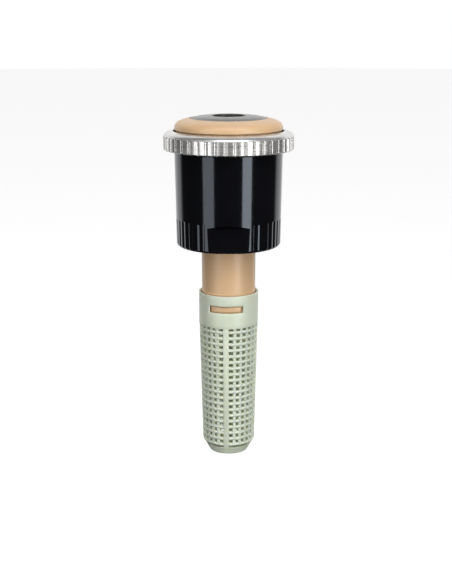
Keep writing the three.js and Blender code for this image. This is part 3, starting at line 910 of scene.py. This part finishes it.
band_radius, band_low, band_high = reach("grip_band")
sleeve_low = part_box("arc_sleeve")[0][2]
throat = Vector((9.8 * MM, 7.9 * MM))
lip_angle = math.radians(20)
mouth_sweep = 5.2 * MM
band_bore = 12.3 * MM
valve_radius = 4.5 * MM
helix_rise = 2.4 * MM


def sweep(radius, steps=14):
    """The arc about the throat's centre, from beside the throat up to where the lip starts."""
    points = []
    for i in range(steps + 1):
        turn = math.pi + (math.pi / 2 + lip_angle - math.pi) * i / steps
        points.append((throat.x + radius * math.cos(turn), throat.y + radius * math.sin(turn)))
    return points


def lip_at(radius, sweep_radius):
    """The point of the straight lip at that radius from the axis."""
    start = sweep(sweep_radius, 1)[1]
    return radius, start[1] + (radius - start[0]) * math.tan(lip_angle)


def ramp_mesh(name, inner, outer, low, high, low_rise, high_rise, share=0.97):
    """A bar bent once round the axis, whose bottom and top rise along it by their own amounts."""
    steps = 96
    form = bmesh.new()
    rings = []
    for step in range(steps + 1):
        along = step / steps
        turn = 2 * math.pi * share * along
        across = ((inner, low + low_rise * along), (outer, low + low_rise * along))
        back = ((outer, high + high_rise * along), (inner, high + high_rise * along))
        rings.append(
            [form.verts.new((r * math.cos(turn), r * math.sin(turn), z)) for r, z in (*across, *back)]
        )
    for first, second in zip(rings, rings[1:]):
        for a in range(4):
            b = (a + 1) % 4
            form.faces.new((first[a], first[b], second[b], second[a]))
    form.faces.new(rings[0])
    form.faces.new(rings[-1])
    mesh = bpy.data.meshes.new(name)
    form.to_mesh(mesh)
    form.free()
    return outwards(mesh)


sleeve_radius = band_radius - 0.65 * MM
sleeve_outline = [
    (band_bore + 0.1 * MM, band_high - 0.5 * MM),
    (13.4 * MM, band_high - 0.75 * MM),
    (sleeve_radius, band_high - 1.2 * MM),
    (sleeve_radius, band_low + 0.12 * MM),
    (cavity_radius - 0.55 * MM, band_low),
    (cavity_radius - 0.55 * MM, 8.8 * MM),
    (cavity_radius - 0.2 * MM, 8.6 * MM),
    (cavity_radius - 0.2 * MM, 8 * MM),
    (9.3 * MM, 8 * MM),
    lip_at(9.3 * MM, mouth_sweep - 1.3 * MM),
    *sweep(mouth_sweep - 1.3 * MM, 10)[:2:-1],
    (6 * MM, throat.y),
    (6 * MM, throat.y - 0.7 * MM),
    (5.5 * MM, throat.y - 0.7 * MM),
    (5.5 * MM, throat.y - 1.7 * MM),
    (6 * MM, throat.y - 1.7 * MM),
    (6 * MM, sleeve_low + 0.2 * MM),
    (5.2 * MM, sleeve_low + 0.2 * MM),
    (5.2 * MM, throat.y - 0.3 * MM),
    (throat.x - mouth_sweep, throat.y - 0.3 * MM),
    *sweep(mouth_sweep),
    lip_at(band_bore + 0.1 * MM, mouth_sweep),
]
sleeve_mesh = turned_mesh("arc_sleeve_body", sleeve_outline, 128, 0.1 * MM)
arc_sleeve = made("arc_sleeve_body", sleeve_mesh, glossy_black)
fitted(arc_sleeve, "arc_ring", "black_plastic", "arc_sleeve")
valve_lip_mesh = ramp_mesh(
    "valve_lip", valve_radius + 0.25 * MM, 5.35 * MM, sleeve_low, throat.y - 0.2 * MM, helix_rise, 0
)
valve_lip = made("valve_lip", valve_lip_mesh, glossy_black)
fitted(valve_lip, "arc_ring", "black_plastic")

# ---------------------------------------------------------------------------------------------
# Steel band. Thin stainless sheet, pressed over the arc sleeve and knurled so that wet fingers
# can turn it. Rolling leaves faint lines round it, and the knurls' crests are bright.


def rolled_steel(name, colour, roughness, line_scale, metallic=1.0):
    """Bright steel with faint lines that run round the axis, and slightly cloudy gloss."""
    material = bpy.data.materials.new(name)
    material.use_nodes = True
    nodes, links = material.node_tree.nodes, material.node_tree.links
    shader = nodes["Principled BSDF"]
    place = nodes.new("ShaderNodeTexCoord")
    stretch = nodes.new("ShaderNodeMapping")
    stretch.inputs["Scale"].default_value = line_scale
    links.new(place.outputs["Object"], stretch.inputs["Vector"])
    lines = nodes.new("ShaderNodeTexNoise")
    lines.inputs["Scale"].default_value = 1
    lines.inputs["Detail"].default_value = 3
    links.new(stretch.outputs["Vector"], lines.inputs["Vector"])
    clouds = nodes.new("ShaderNodeTexNoise")
    clouds.inputs["Scale"].default_value = 260
    clouds.inputs["Detail"].default_value = 3
    links.new(place.outputs["Object"], clouds.inputs["Vector"])
    tone = nodes.new("ShaderNodeValToRGB")
    tone.color_ramp.elements[0].position = 0.32
    tone.color_ramp.elements[1].position = 0.68
    tone.color_ramp.elements[0].color = (*(0.82 * part for part in colour), 1)
    tone.color_ramp.elements[1].color = (*colour, 1)
    links.new(clouds.outputs[0], tone.inputs["Fac"])
    links.new(tone.outputs["Color"], shader.inputs["Base Color"])
    polish = nodes.new("ShaderNodeMapRange")
    polish.inputs["From Min"].default_value = 0.3
    polish.inputs["From Max"].default_value = 0.7
    polish.inputs["To Min"].default_value = roughness * 0.75
    polish.inputs["To Max"].default_value = roughness * 1.35
    links.new(lines.outputs[0], polish.inputs["Value"])
    links.new(polish.outputs["Result"], shader.inputs["Roughness"])
    bump = nodes.new("ShaderNodeBump")
    bump.inputs["Strength"].default_value = 0.25
    bump.inputs["Distance"].default_value = 0.0015 * MM
    links.new(lines.outputs[0], bump.inputs["Height"])
    links.new(bump.outputs["Normal"], shader.inputs["Normal"])
    shader.inputs["Metallic"].default_value = metallic
    return material


stainless = rolled_steel("stainless_sheet", (0.82, 0.81, 0.79), 0.28, (120, 120, 9000), 0.78)
band_wall = 0.3 * MM
# The band ends a little lower than its solid.
band_low -= 0.2 * MM
knurl_low, knurl_high = band_low + 0.05 * MM, band_high - 0.95 * MM
side_rows = [band_low + 0.2 * MM + (knurl_high - band_low - 0.3 * MM) * i / 14 for i in range(15)]
band_outline = [
    (band_bore, band_high),
    (13.4 * MM, band_high - 0.22 * MM),
    (13.85 * MM, band_high - 0.4 * MM),
    (14.2 * MM, band_high - 0.68 * MM),
    (14.42 * MM, band_high - 1.0 * MM),
    *((band_radius, z) for z in reversed(side_rows)),
    (band_radius - 0.12 * MM, band_low + 0.12 * MM),
    (band_radius - 0.3 * MM, band_low),
    (band_radius - band_wall - 0.28 * MM, band_low),
    (band_radius - band_wall - 0.28 * MM, band_high - 1.25 * MM),
    (13.5 * MM, band_high - 0.6 * MM),
    (band_bore, band_high - band_wall),
]
band_mesh = turned_mesh("steel_band", band_outline, 44 * 24, 0.08 * MM)
steel_band = grown(
    "steel_band",
    fluting,
    {
        "Count": 44,
        "Depth": 0.32 * MM,
        "Crown": 0.04 * MM,
        "Narrowness": 11.0,
        "Phase": math.radians(-90 + 1.6 + 4.09),
        "Low": knurl_low - 0.4 * MM,
        "High": knurl_high,
        "Fade": 0.35 * MM,
        "Plain Angle": 0.0,
        "Least Radius": band_radius - 0.4 * MM,
        "Material": stainless,
    },
    band_mesh,
)
outwards(steel_band.data)
fitted(steel_band, "arc_ring", "stainless", "grip_band")

# ---------------------------------------------------------------------------------------------
# Seals. Black rubber rings in their grooves: one between the sleeve's throat and the tube's bell,
# one under the damper's lid. The lip seal on the shaft is moulded of the same rubber.

seal_rubber = moulded_plastic(
    "seal_rubber",
    (0.022, 0.021, 0.02),
    (0.014, 0.014, 0.013),
    roughness=0.62,
    grain=0.02 * MM,
    patch=400,
)


def ring_seal(name, node, body):
    """A ring seal of round section, as wide and as thick as its CAD node."""
    outer, low, high = reach(node)
    section = (high - low) / 2
    centre = outer - section
    turns = [2 * math.pi * i / 20 for i in range(20)]
    loop = [(centre + section * math.cos(t), (low + high) / 2 + section * math.sin(t)) for t in turns]
    seal = made(name, turned_mesh(name, loop, 96, 0), seal_rubber)
    fitted(seal, body, "seal_rubber", node)


ring_seal("throat_ring_seal", "sleeve_seal", "arc_ring")
ring_seal("lid_ring_seal", "lid_seal", "rotor")

shaft_bore = 1.65 * MM
seal_radius, seal_low, seal_high = reach("lip_seal")
lip_outline = [
    (shaft_bore, seal_high),
    (seal_radius, seal_high),
    (seal_radius, seal_low),
    (seal_radius - 0.5 * MM, seal_low),
    (2.3 * MM, seal_high - 0.8 * MM),
    (1.9 * MM, seal_high - 0.8 * MM),
    (shaft_bore, seal_low + 0.2 * MM),
]
shaft_seal = made("shaft_lip_seal", turned_mesh("shaft_lip_seal", lip_outline, 64, 0.08 * MM), seal_rubber)
fitted(shaft_seal, "rotor", "seal_rubber", "lip_seal")

# ---------------------------------------------------------------------------------------------
# Rotor cap. The tan dome on top, of the flow tube's plastic. Its shoulder is one soft round, and
# a collar inside it clips over the damper's housing and holds the lid down.


def smooth_line(points, steps=6):
    """A smooth line through the points, as short straight steps."""
    line = []
    ends = [Vector(p) for p in (points[0], *points, points[-1])]
    for a, b, c, d in zip(ends, ends[1:], ends[2:], ends[3:]):
        for i in range(steps):
            t = i / steps
            square = (2 * a - 5 * b + 4 * c - d) * t**2
            cube = (3 * b - a - 3 * c + d) * t**3
            line.append(0.5 * (2 * b + (c - a) * t + square + cube))
    return [(p.x, p.y) for p in (*line, ends[-1])]


cap_radius, cap_low, cap_high = reach("rotor_cap")
disc_radius, disc_low, disc_high = reach("cover_disc")
cap_wall = 0.95 * MM
gap_above_band = 0.22 * MM
undercut = 0.35 * MM
cap_bore = disc_radius + 0.1 * MM
shoulder = smooth_line(
    [
        (cap_bore + 0.15 * MM, cap_high - 0.02 * MM),
        (9.55 * MM, cap_high - 0.2 * MM),
        (10.8 * MM, cap_high - 0.55 * MM),
        (11.55 * MM, cap_high - 1.02 * MM),
        (11.92 * MM, cap_high - 1.55 * MM),
        (cap_radius, cap_high - 2.05 * MM),
    ]
)
cap_outline = [
    (cap_bore, cap_high + 0.02 * MM),
    *shoulder,
    (cap_radius, band_high + gap_above_band),
    (cap_radius - undercut, band_high + gap_above_band - 0.1 * MM),
    (cap_radius - undercut, cap_low),
    (cap_radius - cap_wall, cap_low),
    (cap_radius - cap_wall, 17.2 * MM),
    (10.4 * MM, 18.2 * MM),
    (9.6 * MM, 18.2 * MM),
    (9.6 * MM, cap_low),
    (8.6 * MM, cap_low),
    (8.6 * MM, 17.35 * MM),
    (8 * MM, 17.35 * MM),
    (8 * MM, disc_low - 0.1 * MM),
    (cap_bore, disc_low - 0.1 * MM),
]
rotor_cap = made("rotor_cap_dome", turned_mesh("rotor_cap_dome", cap_outline, 160), tan_plastic)
fitted(rotor_cap, "rotor", "tan_plastic", "rotor_cap")

# ---------------------------------------------------------------------------------------------
# Cover disc. A dark grey disc, slightly crowned, that drops into the dome. The hole in it is where
# the screwdriver goes in to turn the shaft.

dark_grey = moulded_plastic(
    "dark_grey",
    (0.07, 0.068, 0.064),
    (0.058, 0.057, 0.055),
    roughness=0.24,
    grain=0.001 * MM,
    gloss=0.65,
)
recess_radius = 3.7 * MM
disc_edge = cap_high
disc_outline = [
    (recess_radius, disc_high - 0.12 * MM),
    (recess_radius + 0.2 * MM, disc_high),
    (recess_radius + 0.5 * MM, disc_high),
    (recess_radius + 2 * MM, disc_high - 0.09 * MM),
    (recess_radius + 3.5 * MM, disc_high - 0.25 * MM),
    (disc_radius - 0.12 * MM, disc_edge),
    (disc_radius, disc_edge - 0.12 * MM),
    (disc_radius, disc_low),
    (recess_radius, disc_high - 0.7 * MM),
]
cover_disc = made("cover_disc_plate", turned_mesh("cover_disc_plate", disc_outline, 128, 0.1 * MM), dark_grey)
fitted(cover_disc, "rotor", "grey_plastic", "cover_disc")

# ---------------------------------------------------------------------------------------------
# Damper lid. It closes the damper's chamber, holds the upper bush, and its chimney guides the
# screwdriver down to the slot.

lid_radius, lid_low, lid_high = reach("damper_lid")
lid_floor = lid_low + 0.7 * MM
bush_seat = 2.7 * MM
lid_outline = [
    (recess_radius, lid_high),
    (recess_radius + 1 * MM, lid_high),
    (recess_radius + 1 * MM, lid_floor),
    (lid_radius, lid_floor),
    (lid_radius, lid_low),
    (bush_seat, lid_low),
    (bush_seat, lid_floor),
    (recess_radius, lid_floor),
]
damper_lid = made("damper_lid_plate", turned_mesh("damper_lid_plate", lid_outline, 96, 0.12 * MM), dark_grey)
fitted(damper_lid, "rotor", "grey_plastic", "damper_lid")

# ---------------------------------------------------------------------------------------------
# Rotor plate. The deflector, moulded in one with the damper's housing. Curved grooves in its
# underside turn the water outwards and drive it round, one stream to each groove.


def groove_tree():
    """Cuts grooves that curve sideways as they go outwards into the deflector's underside."""
    kinds = dict.fromkeys(("Depth", "Narrowness", "Curl", "Centre Radius", "Centre Height"), "Float")
    kinds |= dict.fromkeys(("Sweep Radius", "Rim Radius"), "Float")
    kinds |= {"Count": "Int", "Material": "Material"}
    tree, start, given = new_tree("stream_grooves", kinds)
    position = tree.nodes.new("GeometryNodeInputPosition")
    split = tree.nodes.new("ShaderNodeSeparateXYZ")
    tree.links.new(position.outputs[0], split.inputs[0])
    x, y, z = (Number(tree, socket) for socket in split.outputs)
    radius = (x * x + y * y).math("SQRT")
    bearing = y.math("ARCTAN2", x)
    out, up = radius - given["Centre Radius"], z - given["Centre Height"]
    away = (out * out + up * up).math("SQRT")
    along = (radius - given["Centre Radius"] + given["Sweep Radius"]) / given["Rim Radius"]
    swirl = bearing - along.math("MAXIMUM", 0.0) ** 1.6 * given["Curl"]
    groove = ((swirl * given["Count"]).math("COSINE") * 0.5 + 0.5) ** given["Narrowness"]
    # The underside lies at the sweep's radius from the centre, or on the lip past it.
    lip_height = (radius - given["Centre Radius"]) * math.tan(lip_angle)
    lip_height = lip_height + given["Sweep Radius"] / math.cos(lip_angle)
    on_arc = (away - given["Sweep Radius"]).math("ABSOLUTE").math("LESS_THAN", 0.06 * MM)
    on_lip = (up - lip_height).math("ABSOLUTE").math("LESS_THAN", 0.06 * MM)
    on_underside = on_arc.math("MAXIMUM", on_lip) * up.math("GREATER_THAN", 0.01 * MM)
    depth = given["Depth"] * groove * on_underside
    outward = depth * out / away
    push = tree.nodes.new("ShaderNodeCombineXYZ")
    tree.links.new((x / radius * outward).socket, push.inputs["X"])
    tree.links.new((y / radius * outward).socket, push.inputs["Y"])
    tree.links.new((depth * up / away).socket, push.inputs["Z"])
    press = tree.nodes.new("GeometryNodeSetPosition")
    tree.links.new(start.outputs["Geometry"], press.inputs["Geometry"])
    tree.links.new(push.outputs[0], press.inputs["Offset"])
    end_tree(tree, start, press.outputs[0])
    return tree


deflector_sweep = 6 * MM
plate_low, plate_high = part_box("rotor_plate")[0][2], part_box("rotor_plate")[1][2]
rim_radius_plate = 11.4 * MM
rim_corner = lip_at(rim_radius_plate, deflector_sweep)
rim_top = rim_corner[1] + 0.5 * MM
housing_radius = 8.4 * MM
chamber_radius = 6.9 * MM
chamber_floor = 14.1 * MM
seal_seat = chamber_radius + 0.8 * MM
lip_points = [lip_at(rim_radius_plate - 4 * MM * i / 10, deflector_sweep) for i in range(10)]
plate_outline = [
    (seal_seat, plate_high),
    (housing_radius, plate_high),
    (housing_radius, rim_top),
    (rim_radius_plate, rim_top),
    *lip_points,
    *sweep(deflector_sweep, 26)[::-1],
    (3.1 * MM, plate_low),
    (3.1 * MM, chamber_floor - 2.25 * MM),
    (bush_seat, chamber_floor - 2.25 * MM),
    (bush_seat, chamber_floor),
    (chamber_radius, chamber_floor),
    (chamber_radius, plate_high - 0.7 * MM),
    (seal_seat, plate_high - 0.7 * MM),
]
rotor_plate = grown(
    "rotor_plate_body",
    groove_tree(),
    {
        "Count": 12,
        "Depth": 0.5 * MM,
        "Narrowness": 1.1,
        "Curl": 0.75,
        "Centre Radius": throat.x,
        "Centre Height": throat.y,
        "Sweep Radius": deflector_sweep,
        "Rim Radius": rim_radius_plate,
        "Material": dark_grey,
    },
    turned_mesh("rotor_plate_body", plate_outline, 12 * 28, 0.06 * MM),
)
outwards(rotor_plate.data)
fitted(rotor_plate, "rotor", "grey_plastic", "rotor_plate")

# ---------------------------------------------------------------------------------------------
# Bushes and rings of white acetal on the shaft: the rotor's two bearings, the ring that holds the
# lip seal in, and the washer that the spring stands on. All are turned to the same finish.

white_acetal = moulded_plastic("white_acetal", (0.74, 0.72, 0.66), (0.7, 0.68, 0.61), 0.34, 0.004 * MM, 0.2)


def bush(name, node, body, bore, chamfer=0.15 * MM):
    """A plain ring with broken edges, as large as its CAD node."""
    outer, low, high = reach(node)
    loop = [(bore, high), (outer, high), (outer, low), (bore, low)]
    ring = made(name, turned_mesh(name, loop, 72, chamfer), white_acetal)
    fitted(ring, body, "white_plastic", node)


bush("upper_bearing", "upper_bush", "rotor", shaft_bore)
bush("lower_bearing", "lower_bush", "rotor", shaft_bore)
bush("seal_ring", "seal_retainer", "rotor", 1.9 * MM)
bush("spring_washer", "spring_seat", "carriage", shaft_bore)

# ---------------------------------------------------------------------------------------------
# Adjusting shaft. Ground stainless bar: a slot for the screwdriver on top, a groove for the clip,
# and a rolled thread on the lower end that lifts and lowers the throttle.

ground_steel = rolled_steel("ground_steel", (0.6, 0.59, 0.57), 0.22, (400, 400, 14000))
shaft_radius, shaft_low, shaft_high = reach("adjusting_shaft")
clip_height = -8.95 * MM
thread_high = -12 * MM
shaft_outline = [
    (0, shaft_high),
    (shaft_radius - 0.2 * MM, shaft_high),
    (shaft_radius, shaft_high - 0.2 * MM),
    (shaft_radius, clip_height + 0.2 * MM),
    (shaft_radius - 0.25 * MM, clip_height + 0.2 * MM),
    (shaft_radius - 0.25 * MM, clip_height - 0.2 * MM),
    (shaft_radius, clip_height - 0.2 * MM),
    (shaft_radius, thread_high),
    (shaft_radius - 0.22 * MM, thread_high - 0.25 * MM),
    (shaft_radius - 0.22 * MM, shaft_low + 0.25 * MM),
    (shaft_radius - 0.45 * MM, shaft_low),
    (0, shaft_low),
]


def cutter(size, centre):
    """A block to cut with. It isn't part of the object and is removed after the cut."""
    form = bmesh.new()
    bmesh.ops.create_cube(form, size=1)
    bmesh.ops.scale(form, vec=size, verts=form.verts)
    bmesh.ops.translate(form, vec=centre, verts=form.verts)
    mesh = bpy.data.meshes.new("cutter")
    form.to_mesh(mesh)
    form.free()
    block = bpy.data.objects.new("cutter", mesh)
    bpy.context.scene.collection.objects.link(block)
    return block


shaft = made("shaft_bar", turned_mesh("shaft_bar", shaft_outline, 64, 0.06 * MM), ground_steel)
cut_by(shaft, cutter((4 * MM, 0.6 * MM, 2 * MM), (0, 0, shaft_high + 0.1 * MM)))
fitted(shaft, "shaft", "stainless", "adjusting_shaft")

shaft_thread = grown(
    "shaft_thread",
    coil,
    {
        "Radius": shaft_radius - 0.2 * MM,
        "Wire Radius": 0.26 * MM,
        "Low": shaft_low + 0.6 * MM,
        "Rise": 9 * MM,
        "Turns": 9.0,
        "Material": ground_steel,
    },
)
outwards(shaft_thread.data)
fitted(shaft_thread, "shaft", "stainless")

# ---------------------------------------------------------------------------------------------
# Damper drum. The acetal drum that stands still on the shaft while the rotor's chamber, full of
# thick grease, turns round it. That is what keeps the rotor slow.

drum_radius, drum_low, drum_high = reach("damper_stator")
drum_outline = [
    (shaft_radius + 0.1 * MM, drum_high),
    (2.9 * MM, drum_high),
    (2.9 * MM, drum_low + 0.7 * MM),
    (drum_radius - 1.5 * MM, drum_low + 0.7 * MM),
    (drum_radius - 1.5 * MM, drum_high - 0.3 * MM),
    (drum_radius, drum_high - 0.3 * MM),
    (drum_radius, drum_low),
    (shaft_radius + 0.1 * MM, drum_low),
]
damper_drum = made("damper_drum", turned_mesh("damper_drum", drum_outline, 96, 0.12 * MM), white_acetal)
fitted(damper_drum, "shaft", "white_plastic", "damper_stator")

# ---------------------------------------------------------------------------------------------
# Shaft clip. A stamped spring-steel ring with a gap, pushed sideways into the shaft's groove. It
# carries the washer that the spring pushes on.

spring_steel = rolled_steel("spring_steel", (0.5, 0.49, 0.48), 0.28, (700, 700, 700))
clip_low, clip_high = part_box("shaft_clip")[0][2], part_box("shaft_clip")[1][2]
clip_radius = reach("shaft_clip")[0]
clip_outline = [
    (shaft_radius - 0.15 * MM, clip_high),
    (clip_radius, clip_high),
    (clip_radius, clip_low),
    (shaft_radius - 0.15 * MM, clip_low),
]
clip = made("retaining_clip", turned_mesh("retaining_clip", clip_outline, 72, 0.04 * MM), spring_steel)
cut_by(clip, cutter((clip_radius, 1.8 * MM, 2 * MM), (clip_radius / 2 + 0.3 * MM, 0, clip_height)))
fitted(clip, "shaft", "spring_steel", "shaft_clip")

# ---------------------------------------------------------------------------------------------
# Return spring. Spring-steel wire, wound right-handed, in the stem's bore round the shaft. It
# stands on the washer and pulls the rotor down into the mouth when the water is shut off.

spring_radius, spring_low, spring_high = reach("return_spring")
wire_radius = 0.27 * MM
return_spring = grown(
    "spring_coil",
    coil,
    {
        "Radius": spring_radius - wire_radius,
        "Wire Radius": wire_radius,
        "Low": spring_low + wire_radius,
        "Rise": spring_high - spring_low - 2 * wire_radius,
        "Turns": 9.0,
        "Material": spring_steel,
    },
)
outwards(return_spring.data)
fitted(return_spring, "skirt", "spring_steel", "return_spring")
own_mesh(return_spring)

# ---------------------------------------------------------------------------------------------
# Stem. An acetal hub fixed in the tube by four spokes. Its helical rim is the still half of the
# arc valve, its lower bore holds the spring, and the ring round the spokes is the throttle's seat.

stem_radius = 3.3 * MM
stem_low, stem_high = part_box("nozzle_stem")[0][2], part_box("nozzle_stem")[1][2]
spring_bore = 2.75 * MM
seat_low = -3.2 * MM
stem_outline = [
    (shaft_radius + 0.25 * MM, stem_high),
    (stem_radius, stem_high),
    (stem_radius, stem_low),
    (spring_bore, stem_low),
    (spring_bore, spring_high + 0.25 * MM),
    (shaft_radius + 0.25 * MM, spring_high + 0.25 * MM),
]
stem = made("stem_hub", turned_mesh("stem_hub", stem_outline, 80, 0.15 * MM), white_acetal)
fitted(stem, "skirt", "white_plastic", "nozzle_stem")
stem_rim_mesh = ramp_mesh(
    "stem_rim", stem_radius - 0.2 * MM, valve_radius, stem_high - 4 * MM, stem_high - 2.8 * MM, 0, helix_rise
)
stem_rim = made("stem_rim", stem_rim_mesh, white_acetal)
fitted(stem_rim, "skirt", "white_plastic")
seat_outline = [
    (valve_radius - 0.3 * MM, seat_low + 1.6 * MM),
    (tube_bore - 0.2 * MM, seat_low + 1.6 * MM),
    (tube_bore - 0.2 * MM, seat_low),
    (valve_radius - 0.3 * MM, seat_low),
]
throttle_seat = made("throttle_seat", turned_mesh("throttle_seat", seat_outline, 80, 0.1 * MM), white_acetal)
fitted(throttle_seat, "skirt", "white_plastic")
stem_spokes = grown(
    "stem_spokes",
    block_ring,
    {
        "Count": 4,
        "Size": (1.8 * MM, 0.8 * MM, 2.2 * MM),
        "Radius": 4.05 * MM,
        "Height": seat_low + 1.1 * MM,
        "Turn": 0.0,
        "Material": white_acetal,
    },
)
softened(stem_spokes)
fitted(stem_spokes, "skirt", "white_plastic")

# ---------------------------------------------------------------------------------------------
# Throttle cup. An acetal cup on the shaft's thread. The tube's keys stop it from turning, so that
# it climbs towards its seat as the shaft is turned, and shortens the streams.

cup_radius, cup_low, cup_high = reach("throttle_cup")
cup_bore = 3.6 * MM
cup_web = 1.5 * MM
cup_outline = [
    (cup_bore, cup_high),
    (cup_radius - 0.25 * MM, cup_high),
    (cup_radius, cup_high - 0.3 * MM),
    (cup_radius, cup_low),
    (shaft_radius + 0.12 * MM, cup_low),
    (shaft_radius + 0.12 * MM, cup_low + cup_web),
    (cup_bore, cup_low + cup_web),
]
cup_mesh = turned_mesh("throttle_cup_body", cup_outline, 96, 0.12 * MM)
throttle_cup = made("throttle_cup_body", cup_mesh, white_acetal)
keyways = [
    cutter((1 * MM, 1.5 * MM, 12 * MM), (side * 4.45 * MM, 0, (cup_low + cup_high) / 2)) for side in (-1, 1)
]
cut_by(throttle_cup, *keyways)
fitted(throttle_cup, "throttle", "white_plastic", "throttle_cup")
